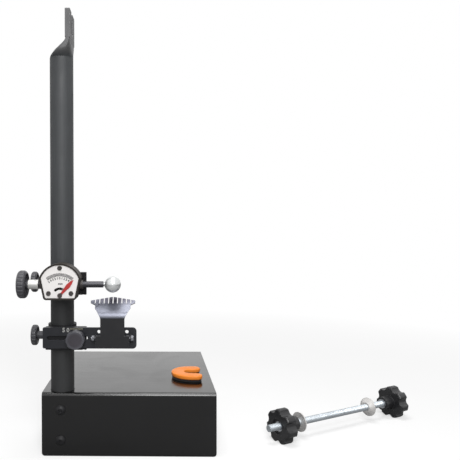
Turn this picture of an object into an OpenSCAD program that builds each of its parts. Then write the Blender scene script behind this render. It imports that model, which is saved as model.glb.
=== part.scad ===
// Wheel truing stand: a folded sheet base, one round post flattened into an axle tab,
// a dial gauge carriage, a comb feeler carriage, a loose through-axle adaptor and a slot spacer.
// Origin: on the floor, at the middle of the front flange's foot. +X points to the wheel's side,
// along the axle, +Y to the back of the base and +Z up.

/* [Base] */
// Width of the folded base, left to right
base_w = 235; // [200:1:280]
// Depth of the base over both flanges
base_d = 250; // [200:1:300]
// Height of the base
base_h = 85; // [78:1:88]
// Thickness of the base's sheet steel
sheet_t = 3; // [2.5:0.1:3.4]
// Outside radius of the base's two bends
bend_r = 4.5; // [3.5:0.1:6]
// Radius of the flanges' lower corners
flange_corner_r = 4.5; // [2:0.1:8]

/* [Post] */
// Outside diameter of the post's tube
post_d = 32; // [31:0.1:33]
// Wall of the post's tube
post_wall = 3.2; // [2.5:0.1:4]
// Distance from the base's left edge to the post's axis
post_inset = 25.5; // [24:0.1:27]
// Height of the post's top above the floor
post_top = 600; // [598:1:640]
// Height of the post's open foot above the floor
post_foot = 2; // [1:0.1:4]
// Gap between the base's front flange and the post
post_seat_gap = 0.3; // [0.1:0.05:0.6]
// Radial gap of the post's hole in the base's top
post_hole_gap = 0.3; // [0.2:0.05:0.6]

/* [Axle tab] */
// Width of the flattened tab, front to back
tab_w = 46; // [42:0.5:50]
// Height of the flat tab
tab_h = 39; // [37:0.5:45]
// Height over which the round tube turns into the tab
taper_h = 23; // [20:0.5:28]
// Distance of the tab's right face inside the tube's right side
tab_setback = 1.5; // [0.5:0.1:3]
// Width of the open axle slot
slot_w = 10.2; // [9.5:0.1:12]
// Depth of the axle slot, from the post's top
slot_depth = 31; // [26:0.5:34]
// Radius of the tab's upper corners
tab_corner_r = 2; // [0.5:0.1:4]

/* [Post bolts] */
// Thread diameter of the two post bolts
bolt_d = 8; // [7:0.1:9]
// Head diameter of the post bolts
bolt_head_d = 13.5; // [12.5:0.1:15]
// Head height of the post bolts
bolt_head_h = 4.4; // [3.8:0.1:5]
// Width of the hexagon socket in the bolts' heads
bolt_socket_af = 5; // [4:0.1:6]
// Depth of the hexagon socket
bolt_socket_depth = 2.6; // [2:0.1:3]
// Height of the lower post bolt, as a share of the base's height
bolt_low_share = 0.247; // [0.22:0.001:0.28]
// Height of the upper post bolt, as a share of the base's height
bolt_top_share = 0.729; // [0.65:0.001:0.74]
// Radial gap of the bolt holes
bolt_hole_gap = 0.2; // [0.1:0.05:0.4]
// Width of the post nuts across their flats
nut_af = 13; // [12.5:0.1:14]
// Height of the post nuts
nut_h = 6.5; // [5.5:0.1:7.5]
// Diameter of the post washers
washer_d = 16; // [15:0.1:18]
// Thickness of the post washers
washer_t = 1.6; // [1.2:0.1:2]
// Length of bolt that stands out behind its nut
bolt_tail = 3; // [1:0.1:5]

/* [Carriages] */
// Outside diameter of the carriages' sleeves
sleeve_d = 38.5; // [38:0.1:40]
// Radial running gap between a sleeve and the post
sleeve_gap = 0.05; // [0.03:0.01:0.09]
// Distance from the post's axis to a carriage block's right face
block_reach = 35.6; // [35:0.1:37]
// Distance from the post's axis to a carriage block's front face
block_front = 25.3; // [24.8:0.1:26]
// Thickness of a carriage block, front to back
block_t = 9.6; // [8.5:0.1:12]
// Half width of the web that joins a block to its sleeve
web_half = 15; // [13:0.1:16]
// Radius of a block's upright corners
block_corner_r = 2.5; // [1:0.1:3]
// Width of the upright groove in a block's front face
groove_w = 3; // [2:0.1:3.5]
// Depth of that groove
groove_depth = 2.5; // [1:0.1:3]
// Distance from the block's right face to that groove
groove_inset = 2; // [1.5:0.1:3]
// Height of the gauge carriage's middle above the floor
gauge_z = 232.8; // [232:0.1:240]
// Height of the gauge carriage's block
gauge_block_h = 29.6; // [28:0.1:32]
// Height of the feeler carriage's middle above the floor
feeler_z = 159.5; // [158:0.1:162]
// Height of the feeler carriage's block
feeler_block_h = 30; // [29.4:0.1:34]
// Height that a sleeve stands above its block
sleeve_rise = 1.5; // [0.5:0.1:2.5]

/* [Clamp screws] */
// Thread diameter of the clamp screws
stud_d = 6; // [5.5:0.1:6.5]
// Radial gap of a screw in its hole
stud_gap = 0.06; // [0.03:0.01:0.09]
// Diameter of the clamp screws' bosses on the sleeves
stud_boss_d = 14; // [12:0.1:16]
// Distance from the post's axis to the end of a clamp boss
stud_boss_reach = 22.8; // [22.2:0.1:23.4]
// Distance from the post's axis to the clamp knob's grip
clamp_grip_reach = 33.9; // [33:0.1:34.6]
// Diameter of the clamp knobs
clamp_knob_d = 28; // [26:0.1:28.6]
// Thickness of the clamp knobs' grip
clamp_knob_h = 8; // [7:0.1:10]
// Diameter of the clamp knobs' necks
clamp_neck_d = 11; // [10:0.1:13]
// Length of the clamp knobs' necks
clamp_neck_h = 9.6; // [8.6:0.1:10.2]
// Depth of the hollow in a knob's inner face
knob_hollow = 2.4; // [1.5:0.1:3]
// Width of the rim round that hollow, as a share of the knob's diameter
knob_rim_share = 0.11; // [0.09:0.01:0.14]
// Number of flutes round a clamp knob
clamp_flutes = 16; // [10:1:20]
// Gap between a clamp screw's tip and the post at rest
stud_tip_gap = 0.3; // [0.2:0.05:0.5]

/* [Dial gauge] */
// Distance from the post's axis to the dial's middle
dial_offset = 4; // [3:0.1:5]
// Radius of the dial case's arched top
case_r = 28.5; // [28:0.1:29.5]
// Half width of the dial case's flat bottom
case_foot_half = 21; // [20:0.1:22]
// Distance from the arch's centre down to the case's bottom
case_drop = 19; // [18:0.1:20]
// Slant of the dial case's sides from upright
case_slant = 12; // [10:0.5:14]
// Radius of the dial case's lower corners
case_corner_r = 4; // [3:0.1:5]
// Depth of the dial case
case_depth = 22.5; // [22:0.1:24]
// Side wall of the dial case
case_wall = 2.2; // [1.8:0.1:2.6]
// Back wall of the dial case
case_back = 2; // [1.5:0.1:2.5]
// Depth of the dial plate behind the case's rim
plate_recess = 1.2; // [0.8:0.1:1.6]
// Thickness of the dial plate
plate_t = 1; // [0.8:0.1:1.4]
// Gap between the dial plate and the case's wall
plate_gap = 0.15; // [0.1:0.05:0.3]
// Diameter of the dial screws' posts in the case
screw_post_d = 6.4; // [5.6:0.1:6.8]
// Thread diameter of the dial screws
dial_screw_d = 2.5; // [2.2:0.1:3]
// Head diameter of the dial screws
dial_screw_head_d = 6.1; // [5.2:0.1:6.4]
// Head height of the dial screws
dial_screw_head_h = 1.2; // [0.9:0.1:1.4]
// Height of the top dial screw above the arch's centre
top_screw_rise = 22.4; // [21.8:0.1:22.8]
// Distance of the lower dial screws from the dial's middle line
low_screw_half = 14.6; // [14.2:0.1:15.2]
// Distance of the lower dial screws below the arch's centre
low_screw_drop = 10.4; // [10.2:0.1:11]
// Diameter of the two screws that hold the case to its carriage
case_screw_d = 4; // [3:0.1:5]
// Length of those screws in the carriage block
case_screw_l = 7; // [5:0.1:8]
// Distance of those screws to each side of the dial's middle
case_screw_half = 10; // [9:0.1:11]
// Height of those screws above the arch's centre
case_screw_rise = 11.4; // [11:0.1:12]

/* [Pointer] */
// Distance from the pointer's pivot down from the arch's centre
pivot_drop = 13.2; // [12.8:0.1:13.6]
// Swing of the pointer to each side, in degrees
pointer_swing = 41; // [36:1:42]
// Length of the pointer from its pivot
pointer_len = 27; // [24:0.1:28]
// Widest part of the pointer's blade
pointer_w = 5.6; // [4:0.1:6.4]
// Thickness of the pointer
pointer_t = 0.8; // [0.6:0.1:1]
// Diameter of the pointer's hub
pointer_hub_d = 6.2; // [5.6:0.1:6.6]
// Radius from the pivot to the drive pin
crank_r = 8.9; // [8.6:0.1:9.2]
// Diameter of the drive pin
drive_pin_d = 2.2; // [1.8:0.1:2.4]
// Radial gap between the drive pin and its arched window
window_gap = 0.5; // [0.3:0.05:0.7]
// Side gap between the drive pin and the driver's slot
driver_gap = 0.7; // [0.6:0.05:0.8]
// Diameter of the pointer's pivot pin
pivot_pin_d = 2.4; // [2:0.1:2.8]
// Diameter of the pivot pin's head
pivot_head_d = 5; // [4.4:0.1:5.6]
// Height of the pivot pin's head
pivot_head_h = 0.8; // [0.6:0.1:1]

/* [Plunger] */
// Diameter of the plunger's rod
rod_d = 8.3; // [7.8:0.1:8.6]
// Distance from the post's axis forward to the plunger's axis
rod_front = 33.8; // [33.4:0.1:34.2]
// Distance from the post's axis to the rod's right end
rod_reach = 59.4; // [58:0.1:62]
// Diameter of the ball tip
ball_d = 21.4; // [18:0.1:22]
// Length of the ball's thin neck
ball_neck_l = 1.6; // [1:0.1:4]
// Diameter of the ball's thin neck
ball_neck_d = 5; // [4:0.1:5.6]
// Length of the ball's shank inside the rod
ball_shank_l = 7; // [5:0.1:9]
// Diameter of the pull knob
pull_knob_d = 36.7; // [34:0.1:36.9]
// Thickness of the pull knob
pull_knob_h = 12; // [11:0.1:14]
// Distance from the post's axis to the pull knob's right face
pull_knob_reach = 41; // [40.4:0.1:42]
// Diameter of the hub in the pull knob's hollow
pull_hub_d = 10.6; // [10:0.1:11.6]
// Length of that hub beyond the knob's face
pull_hub_l = 2; // [1:0.1:2.5]
// Number of flutes round the pull knob
pull_flutes = 22; // [12:1:26]
// Diameter of the bright sleeve beside the pull knob
rod_sleeve_d = 12.6; // [12:0.1:14]
// Length of the bright sleeve
rod_sleeve_l = 13; // [12:0.1:13.3]
// Outside diameter of the rod's bushes
bush_d = 12; // [11.4:0.1:12.6]
// Length of the rod's bushes
bush_l = 9.5; // [9:0.1:10]
// Radial running gap of the rod in its bushes
rod_gap = 0.05; // [0.03:0.01:0.09]
// Diameter of the driver's sleeve on the rod
driver_d = 11.6; // [11:0.1:12]
// Half width of the driver's fork
driver_half = 4; // [3.8:0.1:4.1]
// Diameter of the plunger spring's wire
spring_wire = 0.8; // [0.6:0.05:0.85]
// Number of the plunger spring's turns
spring_turns = 6; // [5:1:7]
// Radial gap between the rod and the spring
spring_gap = 0.5; // [0.4:0.05:0.7]

/* [Feeler bar] */
// Thickness of the feeler bar
bar_t = 3; // [2.5:0.1:3.3]
// Height of the feeler bar
bar_h = 28; // [27:0.1:29]
// Distance from the post's axis to the bar's left end
bar_left = 22; // [21.5:0.1:24]
// Distance from the post's axis to the bar's right end
bar_right = 102.7; // [100:0.1:106]
// Radius of the bar's corners
bar_corner_r = 5; // [3:0.1:6]
// Radius of the bar's corners at its left end
bar_left_corner_r = 2; // [1:0.1:4]
// Sliding gap between the bar and the carriage block
bar_gap = 0.2; // [0.15:0.05:0.3]
// Height of the bar's middle above the carriage's middle
bar_rise = 1.5; // [1:0.1:2]
// Width of the bar's long slot
bar_slot_w = 5.4; // [5.3:0.1:6]
// Distance from the post's axis to the slot's left end
bar_slot_left = 16.4; // [15.5:0.1:17]
// Distance from the post's axis to the slot's right end
bar_slot_right = 38; // [37.6:0.1:39]
// Diameter of the bar's two spare holes
bar_hole_d = 4.6; // [3.6:0.1:5]
// Distance of the spare holes above the bar's middle
bar_hole_rise = 8.4; // [8:0.1:9]
// Distance from the feeler's middle to each spare hole
bar_hole_half = 18.5; // [17:0.1:19.4]
// Distance from the post's axis to the lock screw
lock_reach = 23; // [22:0.1:25]
// Diameter of the lock screw
lock_stud_d = 5; // [4.6:0.1:5.1]
// Length of the lock screw's thread in the block
lock_bite = 6; // [5:0.1:6.4]
// Diameter of the lock washer
lock_washer_d = 13; // [11:0.1:15]
// Thickness of the lock washer
lock_washer_t = 1; // [0.8:0.1:1.4]
// Diameter of the lock knob
lock_knob_d = 25; // [24:0.1:27.4]
// Thickness of the lock knob's grip
lock_knob_h = 12; // [10:0.1:13]
// Length of the lock knob's neck
lock_neck_h = 4; // [3:0.1:5]
// Number of lobes round the lock knob
lock_lobes = 8; // [6:1:10]

/* [Comb feeler] */
// Distance from the post's axis to the feeler's middle
feeler_offset = 71.5; // [71:0.1:72]
// Thickness of the feeler's sheet
feeler_t = 1.5; // [1.2:0.1:1.8]
// Width of the feeler's hinged body
feeler_body_w = 44; // [43:0.1:45]
// Distance of the feeler's body below the hinge pin
feeler_body_drop = 11.5; // [10.5:0.1:12]
// Width of the feeler's neck
feeler_neck_w = 31.7; // [30:0.1:34]
// Width of the feeler's shoulders at its bend
feeler_shoulder_w = 46.8; // [45:0.1:48]
// Width over the comb
comb_w = 59; // [56:0.1:60]
// Height of the feeler's bend above the hinge pin
feeler_bend_rise = 28; // [26:0.1:30]
// Inside radius of the feeler's bend
feeler_bend_r = 9; // [7:0.1:10]
// Angle that the comb leans back from upright
feeler_lean = 44; // [38:1:48]
// Length of the comb's leaf beyond the bend
feeler_leaf = 24.6; // [23:0.1:26]
// Fall of the comb's outline from its middle to its ends
comb_fall = 5.8; // [4.6:0.1:6.2]
// Depth of the strip below the gaps that carries the end teeth
comb_strip = 3; // [2.6:0.1:4]
// Rise of the end teeth's lower edge from the shoulders to their ends
comb_flare = 3.4; // [2:0.1:3.6]
// Number of teeth in the comb
teeth = 10; // [8:2:12]
// Width of the gaps between the teeth
tooth_gap = 1.3; // [1.2:0.1:1.8]
// Length of the gaps at the comb's middle
tooth_l = 10.2; // [9.2:0.1:11]
// Diameter of the hinge pin
hinge_d = 4; // [3.6:0.1:4.4]
// Radial running gap of the hinge pin
hinge_gap = 0.06; // [0.03:0.01:0.09]
// Distance from the bar's front face to the hinge pin
hinge_front = 5.6; // [5.4:0.1:6]
// Radius of the hinge ears round the pin
ear_r = 4.4; // [4:0.1:4.8]
// Thickness of the bar's hinge ears
ear_t = 2; // [1.6:0.1:2.4]
// Side gap between the bar's ears and the feeler
ear_gap = 0.4; // [0.3:0.05:0.6]
// Width of the hinge pin's nut and head across their flats
hinge_nut_af = 7; // [6.4:0.1:7.6]
// Height of the hinge pin's nut and head
hinge_nut_h = 3; // [2.4:0.1:3.6]

/* [Axle adaptor] */
// Diameter of the adaptor's rod
axle_d = 10; // [9.4:0.1:10.4]
// Distance between the middles of the two star knobs
axle_span = 233; // [225:1:250]
// Length of rod that stands out beyond the star nut's middle
axle_tail = 25; // [20:0.5:30]
// Depth of the rod in the head knob, past its middle
axle_bite = 4; // [2:0.1:6]
// Pitch radius of a star knob's lobes
star_pitch_r = 18; // [17:0.1:19]
// Radius of a star knob's lobes
star_lobe_r = 7; // [6.5:0.1:7.5]
// Number of lobes on a star knob
star_lobes = 7; // [6:1:8]
// Thickness of a star knob's grip
star_h = 17; // [15:0.1:19]
// Diameter of a star knob's boss
star_boss_d = 21; // [20:0.1:23]
// Length of a star knob's boss
star_boss_l = 16; // [14:0.1:18]
// Outside diameter of the star knobs' metal inserts
star_insert_d = 14; // [13:0.1:15]
// Length of an insert that stands out of its knob's boss
star_insert_out = 1.5; // [1:0.1:2]
// Depth of the recess in a star knob's face
star_recess = 2; // [1:0.1:3]
// Diameter of the cone washers
cone_d = 28; // [26:0.1:30]
// Diameter of a cone washer's small end
cone_small_d = 15; // [13:0.1:17]
// Length of a cone washer
cone_l = 6; // [5:0.1:7]
// Thickness of a cone washer's rim
cone_rim_t = 1.6; // [1.2:0.1:2.2]
// Distance from the star nut's middle to the outer cone washer
outer_cone_at = 32; // [30:0.1:36]
// Distance from the head knob's middle to the inner cone washer
inner_cone_at = 56; // [50:0.5:64]
// Distance of the star nut to the right of the origin
adaptor_right = 217; // [200:1:260]
// Distance of the star nut behind the origin
adaptor_back = 52; // [40:1:80]
// Turn of the adaptor's rod from the +X direction, in degrees
adaptor_turn = 28.8; // [20:0.1:40]

/* [Slot spacer] */
// Length of the spacer, closed end to open end
spacer_l = 44; // [42:0.5:48]
// Width of the spacer over its two arms
spacer_w = 58; // [54:0.5:60]
// Thickness of the spacer
spacer_t = 5.8; // [5:0.1:7]
// Width of the spacer's slot
spacer_slot = 20; // [18:0.1:22]
// Radius of the spacer's rounded edges
spacer_edge_r = 1.8; // [1:0.1:2.2]
// Thickness of the dark pad under the spacer
pad_t = 3; // [2:0.1:4]
// Distance of the pad's edge inside the spacer's edge
pad_inset = 1.2; // [0.8:0.1:2]
// Distance from the base's right edge to the spacer's open end
spacer_inset = 13.5; // [10:0.5:20]
// Distance from the base's front face to the spacer's middle
spacer_back = 81.5; // [70:0.5:100]

/* [Hidden] */

$fn = 64;
// A cut's overrun past the faces that it opens
over = 1;
// Gap between two pieces of one assembly that are only pushed together
seat = 0.02;
// Smallest radius that a rounded corner keeps
least_r = 0.4;

// Post and base places
post_r = post_d / 2;
post_x = post_inset - base_w / 2;
post_y = sheet_t / 2 + post_seat_gap + post_r;
front_y = -sheet_t / 2;
back_y = front_y + base_d;
tab_t = 2 * post_wall;
tab_x = post_x + post_r - tab_setback - tab_t / 2;
taper_top = post_top - tab_h;
taper_bottom = taper_top - taper_h;
axle_z = post_top - slot_depth + slot_w / 2;
bolt_heights = [base_h * bolt_low_share, base_h * bolt_top_share];
post_back_y = post_y + post_r;
bolt_end_y = post_back_y + washer_t + nut_h + bolt_tail;
button_r = bolt_head_d * 0.62;

// Carriage places
block_y = post_y - block_front;
block_x = post_x + block_reach;
sleeve_r = sleeve_d / 2;
gauge_low = gauge_z - gauge_block_h / 2;
feeler_low = feeler_z - feeler_block_h / 2;

// Dial gauge places, with the case's arch centred on the plunger's axis height
dial_x = post_x + dial_offset;
dial_z = gauge_z;
case_front = block_y - case_depth;
case_in = block_y - case_back;
plate_y = case_front + plate_recess;
plate_back = plate_y + plate_t;
dial_screw_places = [
    [0, top_screw_rise], [-low_screw_half, -low_screw_drop], [low_screw_half, -low_screw_drop]
];
pivot_z = dial_z - pivot_drop;
window_half = drive_pin_d / 2 + window_gap;
pointer_lift = 0.3;
pointer_back = plate_y - pointer_lift;
pointer_front = pointer_back - pointer_t;
case_side = case_foot_half * cos(case_slant) + case_drop * sin(case_slant);

// Plunger places
rod_y = post_y - rod_front;
rod_z = dial_z;
rod_end = post_x + rod_reach;
pull_face = post_x - pull_knob_reach;
rod_start = pull_face - pull_knob_h / 2;
ball_x = rod_end + ball_neck_l + ball_d / 2;
wall_mid = (case_side - case_wall / 2) / cos(case_slant);
left_bush_end = dial_x - wall_mid + bush_l / 2;
right_bush_end = dial_x + wall_mid - bush_l / 2;
pin_x = dial_x + crank_r * sin(pointer_swing);
pin_z = pivot_z + crank_r * cos(pointer_swing);
plunger_travel = 2 * crank_r * sin(pointer_swing);
stop_gap = 0.1;
fork_slot = drive_pin_d + 2 * driver_gap;
fork_low = pin_z - drive_pin_d;
fork_top = pivot_z + crank_r + drive_pin_d;
spring_coil_r = rod_d / 2 + spring_gap + spring_wire / 2;
spring_start = left_bush_end;
spring_end = pin_x - driver_half;

// Feeler bar and comb places
bar_back = block_y - bar_gap;
bar_front = bar_back - bar_t;
bar_z = feeler_z + bar_rise;
lock_x = post_x + lock_reach;
hinge_y = bar_front - hinge_front;
hinge_z = bar_z + bar_t * 0.25;
feeler_x = post_x + feeler_offset;
body_half = feeler_body_w / 2;
feeler_face = hinge_y - ear_r;
ear_x = body_half + ear_gap;
hinge_reach = ear_x + ear_t;
flare_steps = 10;
flare_curve = 1.4;
flare_drop = feeler_bend_r * 0.2;
flare_rise = feeler_bend_r * 1.25;
bend_z = hinge_z + feeler_bend_rise;
bend_centre_y = feeler_face + feeler_bend_r;
leaf_y = bend_centre_y - feeler_bend_r * cos(feeler_lean);
leaf_z = bend_z + feeler_bend_r * sin(feeler_lean);
leaf_end = feeler_leaf - comb_fall;
comb_root = feeler_leaf - tooth_l;
comb_low = comb_root - comb_strip;
shoulder_at = (bend_z + flare_rise - leaf_z) / cos(feeler_lean) - 2 * feeler_t;
sheet_reach = feeler_body_drop + feeler_bend_rise + feeler_bend_r + feeler_leaf;
bend_wedge = 2 * (feeler_bend_r + feeler_t);
washer_y = bar_front - lock_washer_t;
knob_y = washer_y - lock_neck_h;

// Adaptor places
star_r = star_pitch_r + star_lobe_r;
adaptor_z = star_pitch_r * cos(180 / star_lobes) + star_lobe_r;

// Spacer places
arm_w = (spacer_w - spacer_slot) / 2;
arm_l = spacer_l - spacer_w / 2 - arm_w / 2;
spacer_x = base_w / 2 - spacer_inset - arm_w / 2 - arm_l;
spacer_y = front_y + spacer_back;

// Directions for round pieces: a cylinder along +X, or along -Y towards the front
module along_x(place) { translate(place) rotate([0, 90, 0]) children(); }
module towards_front(place) { translate(place) rotate([90, 0, 0]) children(); }

// A rectangle from two corners, with all four corners rounded
module round_rect(low, high, r) {
    translate([low[0] + r, low[1]]) square([high[0] - low[0] - 2 * r, high[1] - low[1]]);
    translate([low[0], low[1] + r]) square([high[0] - low[0], high[1] - low[1] - 2 * r]);
    for (x = [low[0] + r, high[0] - r], y = [low[1] + r, high[1] - r])
        translate([x, y]) circle(r = r);
}

// A hexagon prism along +Z, given its width across flats
module hexagon(af, h) { cylinder(d = af / cos(30), h = h, $fn = 6); }

// Half profile of a knob's grip: a rounded disc from z = 0 to h
module grip_profile(r, h, edge) {
    square([r - edge, h]);
    translate([0, edge]) square([r, h - 2 * edge]);
    for (z = [edge, h - edge]) translate([r - edge, z]) circle(r = edge);
}

// A fluted knob on +Z: grip from 0 to h, with flutes cut round its side. flute_share is the
// flutes' radius in diameters, and bite_share how much of that radius cuts into the grip
module fluted_knob(d, h, flutes, edge_share, flute_share, bite_share) {
    flute_r = d * flute_share;
    difference() {
        rotate_extrude() intersection() {
            grip_profile(d / 2, h, d * edge_share);
            square([d, h]);
        }
        for (i = [0 : flutes - 1]) rotate(360 * (i + 0.5) / flutes)
            translate([d / 2 + flute_r * (1 - bite_share), 0, -over])
                cylinder(r = flute_r, h = h + 2 * over, $fn = flute_share > 0.2 ? 64 : 24);
    }
}

// The hollow in a knob's face at z = 0, with slanted walls and a hub left standing in its middle
module knob_hollow(d, hub_d) rotate_extrude() polygon([
    [hub_d / 2, over], [d * (0.5 - knob_rim_share) + over, over],
    [d * (0.5 - knob_rim_share) - knob_hollow / 2, -knob_hollow], [hub_d / 2, -knob_hollow]
]);

// BASE
// Side outline of the base: an upside-down channel, seen along X
module channel_side(depth, height, r) {
    square([depth, height - r]);
    translate([r, 0]) square([depth - 2 * r, height]);
    for (y = [r, depth - r]) translate([y, height - r]) circle(r = r);
}

// Sheet channel with rounded bends, the post's hole and the two bolt holes
module base_housing() color("#26272a") difference() {
    intersection() {
        translate([-base_w / 2, front_y, 0]) rotate([90, 0, 90]) linear_extrude(base_w) difference() {
            channel_side(base_d, base_h, bend_r);
            translate([sheet_t, -over])
                channel_side(base_d - 2 * sheet_t, base_h - sheet_t + over, bend_r - sheet_t);
        }
        translate([0, back_y + over, 0]) rotate([90, 0, 0]) linear_extrude(base_d + 2 * over)
            difference() {
                translate([-base_w / 2, 0]) square([base_w, base_h]);
                for (s = [-1, 1]) flange_corner_cut(s);
            }
    }
    translate([post_x, post_y, base_h - sheet_t - over])
        cylinder(r = post_r + post_hole_gap, h = sheet_t + 2 * over);
    for (z = bolt_heights) towards_front([post_x, front_y + sheet_t + over, z])
        cylinder(r = bolt_d / 2 + bolt_hole_gap, h = sheet_t + 2 * over);
}

// What the flanges' lower corners lose to their rounding, on the left or the right
module flange_corner_cut(side) {
    r = flange_corner_r;
    translate([side * base_w / 2, 0]) difference() {
        square(2 * r, center = true);
        translate([-side * r, r]) circle(r = r);
    }
}

// POST
// Cross-section of the post's taper: half sizes in X and Y, and the centre in X
function ease(t) = t * t * (3 - 2 * t);
function taper_half_x(t) = post_r + (tab_t / 2 - post_r) * ease(t);
function taper_half_y(t) = post_r + (tab_w / 2 - post_r) * sin(90 * min(1, t * 2.2));
function taper_mid_x(t) = post_r - tab_setback * ease(t) - taper_half_x(t);
// A rounded section that turns from a circle into a flat oblong
function section_point(t, a) =
    let (power = 1 - 0.72 * ease(t), c = cos(a), s = sin(a))
    [taper_mid_x(t) + (taper_half_x(t) - seat) * sign(c) * pow(abs(c), power),
     (taper_half_y(t) - seat) * sign(s) * pow(abs(s), power)];
taper_rings = 14;
ring_sides = 40;
// Each ring's share of the taper and its height. The first and the last ring stand inside the
// tube's closed end and the tab
taper_levels = concat(
    [[0, taper_bottom - post_wall / 2]],
    [for (i = [0 : taper_rings]) [i / taper_rings, taper_bottom + taper_h * i / taper_rings]],
    [[1, taper_top + tab_t / 2]]
);
taper_points = [
    for (level = taper_levels) for (k = [0 : ring_sides - 1])
        let (p = section_point(level[0], 360 * (k + 1 / 2) / ring_sides))
        [post_x + p[0], post_y + p[1], level[1]]
];
last_level = len(taper_levels) - 1;
taper_faces = concat(
    [[for (k = [0 : ring_sides - 1]) k]],
    [for (i = [0 : last_level - 1]) for (k = [0 : ring_sides - 1])
        let (a = i * ring_sides + k, b = i * ring_sides + (k + 1) % ring_sides)
        each [[a, a + ring_sides, b + ring_sides], [a, b + ring_sides, b]]],
    [[for (k = [ring_sides - 1 : -1 : 0]) last_level * ring_sides + k]]
);

// Tube, pressed taper and slotted tab, all in one piece
module post_tube() color("#3c3f42") {
    difference() {
        translate([post_x, post_y, post_foot]) cylinder(r = post_r, h = taper_bottom - seat - post_foot);
        translate([post_x, post_y, post_foot - over])
            cylinder(r = post_r - post_wall, h = taper_bottom - post_foot - post_wall + over);
        for (z = bolt_heights) towards_front([post_x, post_y + post_d, z])
            cylinder(r = bolt_d / 2 + bolt_hole_gap, h = 2 * post_d);
    }
    polyhedron(points = taper_points, faces = taper_faces);
    tab();
}

// The flat tab: an oblong plate across X, with rounded upper corners and an open axle slot
module tab() translate([tab_x - tab_t / 2, post_y, 0]) rotate([90, 0, 90]) linear_extrude(tab_t)
    difference() {
        union() {
            translate([-tab_w / 2, taper_top + seat]) square([tab_w, tab_h - tab_corner_r - seat]);
            round_rect([-tab_w / 2, taper_top + tab_h / 2], [tab_w / 2, post_top], tab_corner_r);
        }
        translate([0, axle_z]) circle(d = slot_w);
        translate([-slot_w / 2, axle_z]) square([slot_w, slot_depth]);
    }

// Button-head bolts through the front flange and the post
module post_bolts() color("#1c1c1e") for (z = bolt_heights) {
    towards_front([post_x, bolt_end_y, z]) cylinder(d = bolt_d, h = bolt_end_y - front_y + seat);
    towards_front([post_x, front_y, z]) difference() {
        rotate_extrude() intersection() {
            translate([0, bolt_head_h - button_r]) circle(r = button_r);
            square([bolt_head_d / 2, bolt_head_h]);
        }
        translate([0, 0, bolt_head_h - bolt_socket_depth]) hexagon(bolt_socket_af, bolt_socket_depth + over);
    }
}
module post_washers() color("#8d9094") for (z = bolt_heights)
    towards_front([post_x, post_back_y + washer_t, z]) difference() {
        cylinder(d = washer_d, h = washer_t);
        translate([0, 0, -over]) cylinder(r = bolt_d / 2 + bolt_hole_gap, h = washer_t + 2 * over);
    }

module post_nuts() color("#8d9094") for (z = bolt_heights)
    towards_front([post_x, post_back_y + washer_t + nut_h, z]) difference() {
        hexagon(nut_af, nut_h);
        translate([0, 0, -over]) cylinder(r = bolt_d / 2 + seat, h = nut_h + 2 * over);
    }

// CARRIAGES
// Plan of a carriage's block, with the web back to its sleeve
module block_plan() difference() {
    union() {
        round_rect([-sleeve_r, -block_front], [block_reach, block_t - block_front], block_corner_r);
        translate([-web_half, -block_front + block_corner_r]) square([2 * web_half, block_front]);
    }
    translate([block_reach - groove_inset - groove_w, -block_front - over])
        square([groove_w, groove_depth + over]);
}

// A carriage from height low: its block, its sleeve round the post and the clamp screw's boss
module carriage(low, h) difference() {
    union() {
        translate([post_x, post_y, low]) linear_extrude(h) block_plan();
        translate([post_x, post_y, low]) cylinder(r = sleeve_r, h = h + sleeve_rise);
        along_x([post_x - stud_boss_reach, post_y, low + h / 2])
            cylinder(d = stud_boss_d, h = stud_boss_reach);
    }
    translate([post_x, post_y, low - over])
        cylinder(r = post_r + sleeve_gap, h = h + sleeve_rise + 2 * over);
    along_x([post_x - stud_boss_reach - over, post_y, low + h / 2])
        cylinder(r = stud_d / 2 + stud_gap, h = stud_boss_reach);
}

module gauge_collar() color("#232427") difference() {
    carriage(gauge_low, gauge_block_h);
    for (s = [-1, 1])
        towards_front([dial_x + s * case_screw_half, block_y + case_screw_l, dial_z + case_screw_rise])
            cylinder(r = case_screw_d / 2 + seat, h = case_screw_l + over);
}

module feeler_collar() color("#232427") difference() {
    carriage(feeler_low, feeler_block_h);
    towards_front([lock_x, block_y + lock_bite + over, bar_z])
        cylinder(r = lock_stud_d / 2 + stud_gap, h = lock_bite + 2 * over);
}

// A clamp screw's threaded stud, from inside its knob to just off the post
module clamp_stud(z) color("#8d9094")
    along_x([post_x - clamp_grip_reach - clamp_knob_h / 2, post_y, z])
        cylinder(d = stud_d, h = clamp_grip_reach + clamp_knob_h / 2 - post_r - stud_tip_gap);

// A clamp screw's fluted knob: a grip with a hollow inner face, and a neck towards the post
module clamp_knob(z) color("#2b2c30") difference() {
    union() {
        difference() {
            along_x([post_x - clamp_grip_reach - clamp_knob_h, post_y, z])
                fluted_knob(clamp_knob_d, clamp_knob_h, clamp_flutes, 0.1, 0.06, 0.45);
            along_x([post_x - clamp_grip_reach, post_y, z]) knob_hollow(clamp_knob_d, clamp_neck_d - over);
        }
        along_x([post_x - clamp_grip_reach - clamp_knob_h / 2, post_y, z])
            cylinder(d = clamp_neck_d, h = clamp_neck_h + clamp_knob_h / 2);
    }
    along_x([post_x - clamp_grip_reach - clamp_knob_h / 2, post_y, z])
        cylinder(r = stud_d / 2 + seat, h = clamp_knob_h + clamp_neck_h);
}

module gauge_clamp_stud() clamp_stud(gauge_z);
module gauge_clamp_knob() clamp_knob(gauge_z);
module feeler_clamp_stud() clamp_stud(feeler_z);
module feeler_clamp_knob() clamp_knob(feeler_z);

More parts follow.
